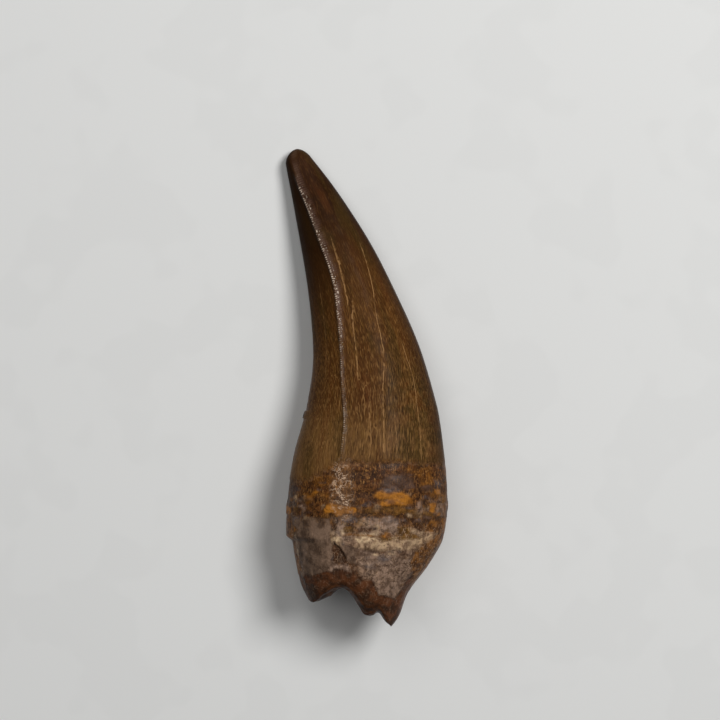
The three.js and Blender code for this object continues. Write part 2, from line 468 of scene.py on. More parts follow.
@dataclass(frozen=True)
class Plate:
    """A mineral patch or flake with a cornered outline in the tooth's x and y, before its edge is warped."""

    stain: Stain
    outline: Rows

    def inside(self, x: np.ndarray, y: np.ndarray) -> np.ndarray:
        """How far inside its edge a place is.

        Args:
            x: Place toward the labial side.
            y: Place toward the tip.

        Returns:
            Millimetres, negative outside.
        """
        corners = np.array(self.outline)
        nearest = np.full(x.shape, np.inf)
        within = np.zeros(x.shape, bool)
        for start, end in zip(corners, np.roll(corners, -1, axis=0)):
            edge = end - start
            dx, dy = x - start[0], y - start[1]
            share = np.clip((dx * edge[0] + dy * edge[1]) / (edge @ edge), 0, 1)
            nearest = np.minimum(nearest, np.hypot(dx - share * edge[0], dy - share * edge[1]))
            if edge[1]:
                within ^= ((start[1] > y) != (end[1] > y)) & (dx < edge[0] * dy / edge[1])
        return np.where(within, nearest, -nearest)


@dataclass(frozen=True)
class Margin:
    """A stain down one edge of the root: beyond a leaning line in x and y, between two heights."""

    stain: Stain
    start: float  # the line's x at height 0
    lean: float  # how far its x moves for each millimetre of height
    side: int  # 1 toward the labial edge, -1 toward the lingual one
    bottom: float
    top: float

    def inside(self, x: np.ndarray, y: np.ndarray) -> np.ndarray:
        """How far beyond its line a place is, in millimetres, negative on the other side."""
        beyond = self.side * (x - self.start - self.lean * y)
        return np.minimum(beyond, np.minimum(y - self.bottom, self.top - y))


@dataclass(frozen=True)
class Chips:
    """Small mineral chips strewn by seeded noise between two heights of the root."""

    stain: Stain
    bottom: float
    top: float
    size: float
    rarity: float  # level of the noise, about 0 to 1, above which a chip shows
    seed: int
    flatness: float = 1.9  # how much wider than tall a chip is
    slope: float = 0.6  # turns the noise into roughly millimetres

    def inside(self, points: np.ndarray, y: np.ndarray) -> np.ndarray:
        """How far inside a chip a point is.

        Args:
            points: Points of the surface, of shape (..., 3).
            y: Their ragged height.

        Returns:
            Millimetres, negative between the chips.
        """
        layered = points * np.array([1.0, self.flatness, 1.0])
        chip = (rough(layered, self.size, self.seed, 2) - self.rarity) * self.size * self.slope
        return np.minimum(chip, np.minimum(y - self.bottom, self.top - y))


@dataclass(frozen=True)
class Crack:
    """A hairline crack: rows of distance from the tip and angle in degrees, shown from start to end."""

    path: Rows
    start: float
    end: float
    strength: float
    opens_over: float = 3.0
    closes_over: float = 4.0
    fellow_turn: float = 7.0  # how far its fellow is off its mirror image, in degrees
    fellow_shift: tuple[float, float] = (4.0, 3.0)  # how far down its fellow's start and end are moved

    def fellow(self) -> "Crack":
        """Its fellow on the hidden side, a little off its mirror image."""
        path = tuple((distance, -angle - self.fellow_turn) for distance, angle in self.path)
        return Crack(path, self.start + self.fellow_shift[0], self.end + self.fellow_shift[1], self.strength)

    def open_at(self, distance: np.ndarray) -> np.ndarray:
        """How open it is at a distance from the tip, 0 to 1."""
        full = self.start + self.opens_over, self.end - self.closes_over
        return Band(self.start, *full, self.end).at(distance) * self.strength


@dataclass(frozen=True)
class ToothMarks:
    """Everything that is drawn on the tooth's surface, in the tooth's frame."""

    enamel_edge: Rows = (
        (-21, 36.2), (-16, 36.8), (-12, 38.2), (-8, 41.0), (-3, 41.8), (3, 41.2), (9, 41.4), (15, 40.4),
        (21, 41),
    )
    # one drawn outline for each plate or chip that stands out
    features: tuple[Blot | Plate, ...] = (
        # smooth dusky plate under the enamel, the orange flake below it and the grey one beside that
        Plate(Stain.DUSK, ((4.5, 37), (8, 38), (12, 37), (12.5, 34.5), (8.5, 34), (4.5, 34.5))),
        Plate(Stain.ORANGE, ((5.5, 31.5), (8, 34), (11.5, 32), (11, 30), (7, 30))),
        Plate(Stain.GREY, ((11.5, 30), (13.5, 32), (18, 31.5), (20, 29.5), (19, 28), (12, 28))),
        # pale zone across the face, and the grey strip above it
        Plate(Stain.GREY, ((1.5, 26), (8.5, 26), (9, 23.5), (2, 23.5))),
        Plate(Stain.CREAM, ((-1.5, 24), (6, 23), (17.5, 23.5), (13, 19), (-1, 19.5))),
        # grey-mauve plate on the lingual lobe
        Plate(Stain.MAUVE, ((-18.5, 27), (-9, 28), (-8.5, 16), (-10.5, 12), (-15.5, 10.5), (-17, 18))),
        # the middle column: its pale top, the flake beside the hole and the ledge below
        Plate(Stain.LILAC, ((-8, 29), (-4, 28.5), (-3.5, 22), (-7.5, 21), (-8, 24))),
        Plate(Stain.MAUVE, ((-6.5, 20.5), (-3, 20), (-3, 15.5), (-5.5, 16.5))),
        Plate(Stain.LILAC, ((-9, 15.5), (-5, 15.5), (-4, 13), (-9.5, 13))),
        # chipped spot on the lingual edge of the crown
        Blot(Stain.UMBER, -16.4, 52.9, 1.4, 1.2),
    )
    # worn pale layer low on the labial side, which hangs over the lip
    overhang: Plate = Plate(Stain.GREY, ((-1.5, 19), (10, 17), (11, 12.5), (7, 6.5), (3, 8.5), (0, 14)))
    hole: Plate = Plate(Stain.UMBER, ((-8.5, 21.5), (-5.5, 18.5), (-5.5, 16), (-9, 16)))
    hole_depth: float = 0.45
    margins: tuple[Margin, ...] = (
        Margin(Stain.GOLD, -14.0, -0.17, -1, 8, 28),
        Margin(Stain.GOLD, 3.0, 0.46, 1, 4, 27),
    )
    chips: tuple[Chips, ...] = (
        Chips(Stain.GOLD, 22, 40, 5.0, 0.2, 201), Chips(Stain.UMBER, 24, 41, 4.5, 0.24, 211),
        Chips(Stain.DUSK, 9, 38, 5.0, 0.34, 221), Chips(Stain.ORANGE, 23, 34, 4.6, 0.26, 231),
        Chips(Stain.OLIVE, 22, 31, 4.6, 0.3, 241), Chips(Stain.PALE, 18, 24, 2.0, 0.3, 251, 1.0),
        Chips(Stain.CREAM, 20, 33, 2.6, 0.36, 261, 1.3), Chips(Stain.GREY, 8, 31, 6.0, 0.18, 271),
        Chips(Stain.LILAC, 7, 30, 5.5, 0.24, 281), Chips(Stain.SLATE, 10, 36, 3.6, 0.46, 291),
        Chips(Stain.RUST, 7, 20, 4.0, 0.3, 321, 1.2),
    )
    # chips stay off these, by this much
    unchipped: tuple[Stain, ...] = (Stain.MAUVE, Stain.DUSK, Stain.RED, Stain.UMBER, Stain.GOLD)
    chip_gap: float = 0.1
    rust_depth: float = 10.5  # reach of the dark rusty band below the enamel
    rust_raggedness: Lumps = Lumps(1.5, 5.0, 311, 2)
    lip_level: float = 8.5  # top of the smooth lip: this height, and a share of the break's height
    lip_share: float = 0.5
    lip_raggedness: Lumps = Lumps(0.8, 2.6, 301, 2)
    wrinkles: Blot = Blot(Stain.GLINT, -6.2, 34.8, 2.6, 8.2)
    wrinkle_height: float = 0.16
    crown_chip_y: float = 52.6
    crown_chip_half: float = 1.1
    crown_chip_height: float = 0.4
    cracks: tuple[Crack, ...] = (
        Crack(((0, 20), (60, 22), (90, 24)), 46, 72, 0.3),
        Crack(((0, 40), (56, 46), (61, 44), (69, 47), (100, 47)), 52, 82, 0.8),
        Crack(((0, 42), (26, 44), (38, 57), (46, 68), (54, 72), (66, 80), (100, 76)), 27, 81, 0.9),
        Crack(((0, 90), (60, 73), (76, 70), (100, 70)), 67, 81, 0.6),
        Crack(((0, 84), (26, 90), (42, 95), (60, 103), (100, 108)), 23, 44, 0.85),
        Crack(((0, 70), (36, 87), (50, 96), (100, 100)), 39, 62, 0.8),
        Crack(((0, 88), (66, 91), (78, 89), (100, 88)), 65, 80, 0.5),
        Crack(((0, 121), (34, 129), (60, 135), (90, 138)), 33, 62, 0.45),
        Crack(((0, 150), (40, 152), (60, 155), (90, 156)), 50, 76, 0.4),
    )
    crack_groove: float = 0.05
    crack_reach: float = 3.0  # how far from a crack its distance is kept
    # on the hidden side, from the first z down to the second, marks slide by this x and by waves in y
    hidden_side: tuple[float, float] = (-0.5, -9.0)
    hidden_slide: float = -6.0
    hidden_wave: float = 3.5
    hidden_wave_length: float = 7.0  # over two pi
    x_wander: tuple[Lumps, ...] = (Lumps(0.8, 5.0, 11, 3), Lumps(0.3, 1.2, 21, 2))
    y_wander: tuple[Lumps, ...] = (Lumps(0.8, 4.4, 31, 3), Lumps(0.3, 1.1, 41, 2))
    enamel_raggedness: tuple[Lumps, ...] = (Lumps(0.9, 4.0, 51, 3), Lumps(0.5, 1.3, 61, 2))

    def plain_place(self, points: np.ndarray) -> tuple[np.ndarray, np.ndarray]:
        """The x and y at which marks are read: on the hidden side they slide away from those in front.

        Args:
            points: Points of the surface, of shape (..., 3).

        Returns:
            The x and the y.
        """
        x, y, z = np.moveaxis(points, -1, 0)
        starts, full = self.hidden_side
        share = 1.0 - smooth(full, starts, z)
        wave = self.hidden_wave * share * np.sin(x / self.hidden_wave_length)
        return x + self.hidden_slide * share, y + wave

    def ragged_place(self, points: np.ndarray) -> tuple[np.ndarray, np.ndarray]:
        """The x and y at which patches are read, wandering so that their edges are ragged.

        Args:
            points: Points of the surface, of shape (..., 3).

        Returns:
            The x and the y.
        """
        x, y = self.plain_place(points)
        x = x + sum(lumps.at(points) for lumps in self.x_wander)
        y = y + sum(lumps.at(points) for lumps in self.y_wander)
        return x, y

    def on_enamel(self, points: np.ndarray) -> np.ndarray:
        """Millimetres above the wavy lower edge of the enamel."""
        x, y = self.plain_place(points)
        return y - along(self.enamel_edge, x) + sum(lumps.at(points) for lumps in self.enamel_raggedness)

    def stains(self, points: np.ndarray, break_height: np.ndarray) -> np.ndarray:
        """How far inside each kind of stain a point is, in millimetres.

        Args:
            points: Points of the surface, of shape (..., 3).
            break_height: Height of the broken face at each.

        Returns:
            Of shape (..., kinds), negative outside.
        """
        x, y = self.ragged_place(points)
        under = -self.on_enamel(points)
        rust_bottom = self.rust_depth + self.rust_raggedness.at(points)
        lip_top = self.lip_level + self.lip_share * break_height + self.lip_raggedness.at(points)
        laid = [
            (Stain.RUST, np.minimum(under, rust_bottom - under)),
            (Stain.RED, np.minimum(lip_top - y, -self.overhang.inside(x, y))),
            (self.wrinkles.stain, self.wrinkles.inside(*self.plain_place(points))),
        ]
        drawn = (*self.features, self.overhang, self.hole, *self.margins)
        laid += [(part.stain, part.inside(x, y)) for part in drawn]
        room = self.chip_gap - np.max([inside for stain, inside in laid if stain in self.unchipped], axis=0)
        laid += [(part.stain, np.minimum(part.inside(points, y), room)) for part in self.chips]
        fields = np.full((*points.shape[:-1], 3 * len(STAIN_VECTORS)), -3.0)
        for stain, inside in laid:
            fields[..., stain.value] = np.maximum(fields[..., stain.value], inside)
        return fields

    def crack_field(
        self, distance: np.ndarray, angle: np.ndarray, radius: np.ndarray
    ) -> tuple[np.ndarray, np.ndarray]:
        """Distance to the nearest crack, and how open it is there.

        The distance changes sign at each crack, so that it stays smooth between them and crosses zero only
        on them.

        Args:
            distance: Millimetres from the tip.
            angle: Angle round the section, in radians.
            radius: Distance of the surface from the centre line.

        Returns:
            Signed millimetres, and strength 0 to 1.
        """
        nearest = np.full(distance.shape, np.inf)
        strength = np.zeros(distance.shape)
        side = np.ones(distance.shape)
        for crack in (*self.cracks, *(crack.fellow() for crack in self.cracks)):
            away = (angle - np.radians(along(crack.path, distance))) * radius
            side = side * np.where(away < 0, -1.0, 1.0)
            closer = np.abs(away) < nearest
            nearest = np.where(closer, np.abs(away), nearest)
            strength = np.where(closer, crack.open_at(distance), strength)
        return np.clip(nearest, 0, self.crack_reach) * side, strength


@dataclass(frozen=True)
class SawTeeth:
    """The denticles of a cutting ridge, in millimetres."""

    pitch: float = 0.5625
    height: float = 0.2
    width: float = 0.24
    flank_height: float = 0.03
    flank: Band = Band(-0.4, 0.1, 0.6, 1.0)  # across the ridge
    band: Band = Band(5, 9, 70, 80)
    flank_band: Band = Band(6, 11, 34, 50)

    def relief(self, distance: np.ndarray, across: np.ndarray) -> np.ndarray:
        """Height of the saw teeth.

        Args:
            distance: Millimetres from the tip.
            across: Millimetres from the ridge's crest, positive away from the lingual edge.

        Returns:
            Millimetres of relief.
        """
        wave = np.cos(2 * math.pi * distance / self.pitch)
        crest = self.height * (0.5 + 0.5 * wave) * bell(across, self.width) * self.band.at(distance)
        return crest + self.flank_height * wave * self.flank.at(across) * self.flank_band.at(distance)


# ---------------------------------------------------------------- the tooth's mesh


@dataclass(frozen=True)
class ToothMesh:
    """The fine surface: rings along the tooth, columns round it, closed at the tip and in the broken end."""

    form: ToothForm = ToothForm()
    marks: ToothMarks = ToothMarks()
    saw: SawTeeth = SawTeeth()
    rest: Rest = Rest()
    columns: int = 212
    rows_per_denticle: int = 2
    straight_rows: int = 300
    leaning_rows: int = 105
    rim_passes: int = 4
    end_rings: int = 44
    dome_angles: tuple[float, ...] = (6, 12, 18, 24)
    # columns stand closer at the ridges, by this amount and angle, and a little closer in front
    crowding: float = 3.0
    crowding_angle: float = 0.1
    back_crowding: float = 0.7
    front_crowding: float = 0.25
    home_share: float = 0.4  # where the columns take the front ridge to be before they follow it
    ridge_pull: float = math.radians(58)
    ridge_snap: float = 0.3
    enamel_thickness: float = 0.12
    enamel_step: tuple[float, float] = (-0.25, 0.3)
    fibre_girth: float = 14.0  # radius of the roll on which the fibres' relief is drawn
    fibre_draw: float = 0.12  # how far the fibres are drawn out along the tooth
    fibres: Lumps = Lumps(0.05, 3.0, 71, 2)
    fine_fibres: Lumps = Lumps(0.02, 0.9, 81, 1)
    fibres_from: tuple[float, float] = (4.0, 20.0)
    root_lumps: tuple[Lumps, ...] = (Lumps(0.12, 3.0, 91, 3), Lumps(0.05, 0.8, 101, 1))
    stain_heights: tuple[tuple[Stain, float], ...] = (
        (Stain.MAUVE, 0.14), (Stain.LILAC, 0.1), (Stain.GREY, 0.08), (Stain.CREAM, 0.1),
        (Stain.ORANGE, 0.06), (Stain.UMBER, -0.08), (Stain.RED, -0.1),
    )
    stain_step: tuple[float, float] = (-0.12, 0.25)
    stain_on_enamel: float = 0.3  # share of a stain's height that shows on the enamel
    hole_step: tuple[float, float] = (-0.1, 0.35)
    wrinkle_step: tuple[float, float] = (-1.0, 1.2)
    wrinkle_folds: Lumps = Lumps(2.2, 1.3, 111, 2)
    wrinkle_stretch: tuple[float, float, float] = (0.8, 1.1, 0.8)
    front_side: tuple[float, float] = (0.0, 4.0)  # z over which the front's own marks fade in
    crown_chip_angle: float = 0.35
    crack_width: float = 0.22
    relief_from: float = 3.0
    rim_radius: float = 12.0
    rim_lumps: Lumps = Lumps(0.5, 1.6, 151, 2)
    break_lumps: Lumps = Lumps(0.55, 3.6, 121, 3)
    break_stretch: tuple[float, float, float] = (1.0, 0.4, 1.0)
    break_grit: Lumps = Lumps(0.15, 0.9, 131, 1)
    break_fade: float = 0.12

    def column_angles(self) -> tuple[np.ndarray, float]:
        """Angles of the columns, crowded at the two ridges.

        Returns:
            The angles, and the front ridge's home angle.
        """
        home = float(self.form.ridge_angle(self.home_share))
        back = self.form.back_angle()
        fine = np.linspace(-math.pi, math.pi, 20001)
        crowd = bell(fine - home, self.crowding_angle)
        crowd += self.back_crowding * bell(fine - back, self.crowding_angle)
        density = (1.0 + self.crowding * crowd) * (1.0 + self.front_crowding * np.sin(fine))
        total = np.concatenate([[0.0], np.cumsum((density[1:] + density[:-1]) / 2)])
        angles = np.interp(np.arange(self.columns) / self.columns * total[-1], total, fine)
        for crest in (home, back):
            miss = crest - angles[np.argmin(np.abs(angles - crest))]
            angles += miss * bell(angles - crest, self.ridge_snap)
        return angles, home

    def grid(self) -> tuple[np.ndarray, np.ndarray]:
        """Every point of the wall, of shape (rings, columns).

        Returns:
            Distances from the tip, and angles.
        """
        even, home = self.column_angles()
        pull = np.cos(np.clip((even - home) / self.ridge_pull, -1, 1) * math.pi / 2) ** 2
        spacing = self.saw.pitch / self.rows_per_denticle
        dome = self.form.tip_dome * (1 - np.cos(np.radians(self.dome_angles)))
        straight = np.concatenate([dome, spacing * np.arange(1, self.straight_rows + 1)])

        def angles_at(distance: np.ndarray) -> np.ndarray:
            """The columns' angles where each is at its own distance."""
            return even + (self.form.front_angle(distance) - home) * pull

        start = np.full(self.columns, straight[-1])
        rim = start
        for _ in range(self.rim_passes):
            rim = self.form.rim(angles_at(rim))
        around = self.rim_radius * np.stack([np.cos(even), np.sin(even), 0 * even], -1)
        rim = rim + self.rim_lumps.at(around)
        shares = np.arange(1, self.leaning_rows + 1)[:, None] / self.leaning_rows
        leaning = start + (rim - start) * shares
        distance = np.vstack([np.repeat(straight[:, None], self.columns, 1), leaning])
        return distance, angles_at(distance)

    def ridge_distances(
        self, distance: np.ndarray, angle: np.ndarray, radius: np.ndarray
    ) -> tuple[np.ndarray, np.ndarray]:
        """How far a place is from each ridge's crest, positive away from the lingual edge.

        Args:
            distance: Millimetres from the tip.
            angle: Angle round the section.
            radius: Distance of the surface from the centre line.

        Returns:
            Millimetres from the front ridge and from the back one.
        """
        front = (self.form.front_angle(distance) - angle) * radius
        back = (angle - self.form.back_angle()) * radius
        return front, back

    def ground_relief(
        self, distance: np.ndarray, angle: np.ndarray, points: np.ndarray, enamel: np.ndarray
    ) -> np.ndarray:
        """The enamel's thickness and fibres, and the root's lumps and plates.

        Args:
            distance: Millimetres from the tip.
            angle: Angle round the section.
            points: The plain form's points there.
            enamel: 1 on the enamel, 0 on the root.

        Returns:
            Millimetres of relief.
        """
        girth, draw = self.fibre_girth, self.fibre_draw
        grain = np.stack([girth * np.cos(angle), girth * np.sin(angle), distance * draw], -1)
        relief = self.enamel_thickness * (enamel - 1.0)
        relief += self.fibres.at(grain) * smooth(*self.fibres_from, distance)
        relief += self.fine_fibres.at(grain) * enamel
        relief += (1 - enamel) * sum(lumps.at(points) for lumps in self.root_lumps)
        stains = self.marks.stains(points, self.form.break_height(points[..., 0], points[..., 2]))
        shown = 1 - (1 - self.stain_on_enamel) * enamel
        for stain, height in self.stain_heights:
            relief += height * smooth(*self.stain_step, stains[..., stain.value]) * shown
        return relief

    def feature_relief(self, angle: np.ndarray, points: np.ndarray) -> np.ndarray:
        """The hole, the puckered column and the chip on the crown's lingual edge.

        Args:
            angle: Angle round the section.
            points: The plain form's points there.

        Returns:
            Millimetres of relief.
        """
        marks = self.marks
        front = smooth(*self.front_side, points[..., 2])
        hole = marks.hole.inside(*marks.ragged_place(points))
        relief = -marks.hole_depth * smooth(*self.hole_step, hole) * front
        puckered = smooth(*self.wrinkle_step, marks.wrinkles.inside(*marks.plain_place(points))) * front
        folds = self.wrinkle_folds.at(points * np.array(self.wrinkle_stretch))
        relief += marks.wrinkle_height * puckered * (1 - np.abs(folds))
        edge = bell(math.pi - np.abs(angle), self.crown_chip_angle)
        half = marks.crown_chip_half
        level = -np.abs(points[..., 1] - marks.crown_chip_y)
        return relief + marks.crown_chip_height * edge * smooth(-half, -0.7 * half, level)

    def wall_relief(
        self, distance: np.ndarray, angle: np.ndarray, points: np.ndarray, radius: np.ndarray
    ) -> np.ndarray:
        """Fine relief of the wall.

        Args:
            distance: Millimetres from the tip.
            angle: Angle round the section.
            points: The plain form's points there.
            radius: Their distance from the centre line.

        Returns:
            Millimetres of relief.
        """
        enamel = smooth(*self.enamel_step, self.marks.on_enamel(points))
        relief = self.ground_relief(distance, angle, points, enamel) + self.feature_relief(angle, points)
        for across in self.ridge_distances(distance, angle, radius):
            relief += self.saw.relief(distance, across)
        away, strength = self.marks.crack_field(distance, angle, radius)
        relief -= self.marks.crack_groove * bell(away, self.crack_width) * strength
        return relief * smooth(0.0, self.relief_from, distance)

    def cap(self, rim: np.ndarray) -> np.ndarray:
        """Rings of the broken end, from just inside the rim to just short of the middle.

        Args:
            rim: The wall's last ring.

        Returns:
            Points of shape (rings, columns, 3).
        """
        form = self.form
        share = (1 - np.arange(1, self.end_rings) / self.end_rings)[:, None]
        x = form.hollow[0] + share * (rim[:, 0] - form.hollow[0])
        z = form.hollow[1] + share * (rim[:, 2] - form.hollow[1])
        hollow = form.hollow_depth * (1 - smooth(0.0, form.hollow_share, share))
        points = np.stack([x, form.break_height(x, z) + hollow, z], -1)
        lumps = self.break_lumps.at(points * self.break_stretch) + self.break_grit.at(points)
        points[..., 1] += lumps * smooth(0.0, self.break_fade, 1 - share)
        return points

    def surface(self) -> dict[str, np.ndarray]:
        """All points and what is known at each.

        Returns:
            Arrays by name: the points in the tooth's frame, the shift to the row's frame, and the marks'
            fields.
        """
        form, marks = self.form, self.marks
        distance, angle = self.grid()
        plain = form.wall(distance, angle)
        centre, _ = form.spine(distance)
        radius = np.sqrt(((plain[..., :2] - centre) ** 2).sum(-1) + plain[..., 2] ** 2)
        relief = self.wall_relief(distance, angle, plain, radius)
        wall = form.wall(distance, angle, relief)
        cap = self.cap(wall[-1])

        tip = np.array([[*form.centre_line[0], 0.0]])
        middle = cap[-1].mean(0, keepdims=True)
        points = np.concatenate([tip, wall.reshape(-1, 3), cap.reshape(-1, 3), middle])

        def spread(values: np.ndarray, at_tip: float, on_cap: np.ndarray | float) -> np.ndarray:
            """Values of the wall, with the tip's before them and the broken end's after."""
            end = np.broadcast_to(on_cap, cap.shape[:-1]).ravel()
            return np.concatenate([[at_tip], values.ravel(), end, end[-1:]])

        across_front, across_back = self.ridge_distances(distance, angle, radius)
        nearer = np.abs(across_front) < np.abs(across_back)
        away, strength = marks.crack_field(distance, angle, radius)
        broken = form.break_height(wall[..., 0], wall[..., 2]) - wall[..., 1]
        inner = np.linalg.norm(cap - wall[-1], axis=-1)
        grain = np.stack([radius * np.cos(angle), GRAIN_DEPTH * radius * np.sin(angle), distance], -1)
        return {
            "points": points,
            "shift": self.rest.shift(np.concatenate([tip, plain.reshape(-1, 3)])),
            "grain": np.concatenate([[[1, 0, 0]], grain.reshape(-1, 3), cap.reshape(-1, 3), middle]),
            "stains": marks.stains(points, form.break_height(points[..., 0], points[..., 2])),
            "enamel": spread(marks.on_enamel(wall), 60.0, -10.0),
            "broken": spread(np.minimum(broken, 0.0), -60.0, inner),
            "carina": spread(np.clip(np.where(nearer, across_front, across_back), -6, 6), 6.0, 6.0),
            "crack": spread(away, 3.0, 3.0),
            "crack_open": spread(strength, 0.0, 0.0),
        }

    def faces(self, count: int) -> list[tuple[int, ...]]:
        """Triangles at the two ends and quads between, facing out.

        Args:
            count: How many points there are.

        Returns:
            Vertex numbers of each face.
        """
        rings = (count - 2) // self.columns
        ring = np.arange(self.columns)
        after = (ring + 1) % self.columns
        start = 1 + np.arange(rings - 1)[:, None] * self.columns
        quads = np.stack(
            [start + ring, start + after, start + self.columns + after, start + self.columns + ring], -1
        )
        last = 1 + (rings - 1) * self.columns
        faces = [(0, int(1 + b), int(1 + a)) for a, b in zip(ring, after)]
        faces += [tuple(quad) for quad in quads.reshape(-1, 4).tolist()]
        faces += [(int(last + a), int(last + b), count - 1) for a, b in zip(ring, after)]
        return faces

    def build(self) -> tuple[bpy.types.Object, np.ndarray]:
        """The tooth as an object in the row's frame, with the fields that its finish reads.

        Returns:
            The object, and the shift from the turned tooth's frame to the row's, in millimetres.
        """
        made = self.surface()
        points = made["points"]
        placed = points @ np.array(self.rest.turn()).T + made["shift"]
        placed[:, 2] = np.maximum(placed[:, 2], 0.0)
        mesh = bpy.data.meshes.new("tooth_surface")
        mesh.from_pydata((placed * METRES).tolist(), [], self.faces(len(points)))
        mesh.shade_smooth()
        write_field(mesh, "tooth_mm", points)
        write_field(mesh, "grain", made["grain"])
        for number, name in enumerate(STAIN_VECTORS):
            write_field(mesh, name, made["stains"][:, 3 * number : 3 * number + 3])
        for name in NUMBER_FIELDS:
            write_field(mesh, name, made[name])
        piece = bpy.data.objects.new("tooth_fossil", mesh)
        bpy.context.scene.collection.objects.link(piece)
        return piece, made["shift"]


def write_field(mesh: bpy.types.Mesh, name: str, values: np.ndarray) -> None:
    """Store a number or a vector at each point of a mesh.

    Args:
        mesh: The mesh.
        name: The attribute's name.
        values: Of shape (points,) or (points, 3).
    """
    is_vector = values.ndim == 2
    attribute = mesh.attributes.new(name, "FLOAT_VECTOR" if is_vector else "FLOAT", "POINT")
    attribute.data.foreach_set("vector" if is_vector else "value", values.astype(np.float32).ravel())


# ---------------------------------------------------------------- node sheets


MIX_SOCKETS = {"FLOAT": (2, 3, 0), "RGBA": (6, 7, 2)}  # a Mix node's two inputs and its output
LINEAR_BELOW = 0.04045  # display values under this turn into light in a straight line


def tone(display: Display) -> tuple[float, float, float, float]:
    """Linear colour from 8-bit display values."""
    shares = (value / 255 for value in display)
    return (*(s / 12.92 if s <= LINEAR_BELOW else ((s + 0.055) / 1.055) ** 2.4 for s in shares), 1.0)


class Sheet:
    """A node tree being filled: each method adds nodes and gives back their output."""

    def __init__(self, tree: bpy.types.NodeTree) -> None:
        """Start on a tree."""
        self.tree = tree

    def node(self, kind: str, **settings: object) -> bpy.types.Node:
        """Add a node and set its properties.

        Args:
            kind: The node's type.
            settings: Its properties by name.

        Returns:
            The node.
        """
        made = self.tree.nodes.new(kind)
        for name, value in settings.items():
            setattr(made, name, value)
        return made

    def feed(self, socket: Socket, value: object) -> None:
        """Link an output to a socket, or set the socket's own value.

        Args:
            socket: The input.
            value: An output, a plain value, or None to leave it as it is.
        """
        if isinstance(value, Socket):
            self.tree.links.new(value, socket)
        elif value is not None:
            socket.default_value = value

    def feed_all(self, node: bpy.types.Node, values: dict[str | int, object]) -> bpy.types.Node:
        """Feed a node's inputs.

        Args:
            node: The node.
            values: Outputs or plain values by the inputs' names or numbers.

        Returns:
            The same node.
        """
        for key, value in values.items():
            self.feed(node.inputs[key], value)
        return node

    def math(self, operation: str, a: object, b: object = None) -> Socket:
        """A Math node's result."""
        return self.feed_all(self.node("ShaderNodeMath", operation=operation), {0: a, 1: b}).outputs[0]

    def times(self, *factors: object) -> Socket:
        """The product of numbers."""
        return reduce(lambda product, factor: self.math("MULTIPLY", product, factor), factors)

    def plus(self, *parts: object) -> Socket:
        """The sum of numbers."""
        return reduce(lambda total, part: self.math("ADD", total, part), parts)

    def scaled(self, vector: object, by: object) -> Socket:
        """A vector multiplied part by part."""
        made = self.node("ShaderNodeVectorMath", operation="MULTIPLY")
        return self.feed_all(made, {0: vector, 1: by}).outputs[0]

    def mix(self, factor: object, a: object, b: object, kind: str = "RGBA") -> Socket:
        """A mix of two colours or numbers.

        Args:
            factor: 0 for a, 1 for b.
            a: The first.
            b: The second.
            kind: RGBA or FLOAT.

        Returns:
            The mix.
        """
        first, second, result = MIX_SOCKETS[kind]
        made = self.node("ShaderNodeMix", data_type=kind)
        return self.feed_all(made, {"Factor": factor, first: a, second: b}).outputs[result]

    def remap(self, value: object, start: object, end: object, first: float = 0, last: float = 1) -> Socket:
        """A smooth step.

        Args:
            value: What it reads.
            start: Where it starts.
            end: Where it ends.
            first: Its value up to start.
            last: Its value from end on.

        Returns:
            The step.
        """
        made = self.node("ShaderNodeMapRange", interpolation_type="SMOOTHSTEP")
        limits = {"From Min": start, "From Max": end, "To Min": first, "To Max": last}
        return self.feed_all(made, {"Value": value, **limits}).outputs[0]

    def noise(
        self, vector: object, scale: object, detail: float, roughness: float = 0.5, swirl: float = 0.0
    ) -> Socket:
        """A noise value, about 0.5 on average."""
        settings = {"Scale": scale, "Detail": detail, "Roughness": roughness, "Distortion": swirl}
        return self.feed_all(self.node("ShaderNodeTexNoise"), {"Vector": vector, **settings}).outputs["Fac"]

    def place(self, group: bpy.types.NodeTree, **inputs: object) -> bpy.types.Node:
        """Place a node group and feed its inputs by name."""
        return self.feed_all(self.node("ShaderNodeGroup", node_tree=group), inputs)


# ---------------------------------------------------------------- effects that the finishes share


class EffectGroup:
    """A shader node group with named inputs and a mask for its output, built once."""

    name: str
    numbers: tuple[str, ...]
    vectors: tuple[str, ...] = ()
    colours: tuple[str, ...] = ()
    mixes_colour: bool = False

    def __init__(self) -> None:
        """Build the group's tree: its sockets, then what draw() adds between them."""
        self.tree = bpy.data.node_groups.new(self.name, "ShaderNodeTree")
        kinds = {"Vector": self.vectors, "Color": self.colours, "Float": self.numbers}
        plugs = [("INPUT", kind, name) for kind, names in kinds.items() for name in names]
        plugs += [("OUTPUT", "Float", "Mask")] + [("OUTPUT", "Color", "Colour")] * self.mixes_colour
        for side, kind, name in plugs:
            self.tree.interface.new_socket(name, in_out=side, socket_type=f"NodeSocket{kind}")
        sheet = Sheet(self.tree)
        given = sheet.node("NodeGroupInput").outputs
        sheet.feed_all(sheet.node("NodeGroupOutput"), self.draw(sheet, given))

    def draw(self, sheet: Sheet, given: Given) -> dict[str, Socket]:
        """Add the group's nodes between its inputs, given by name, and return its outputs by name."""
        raise NotImplementedError


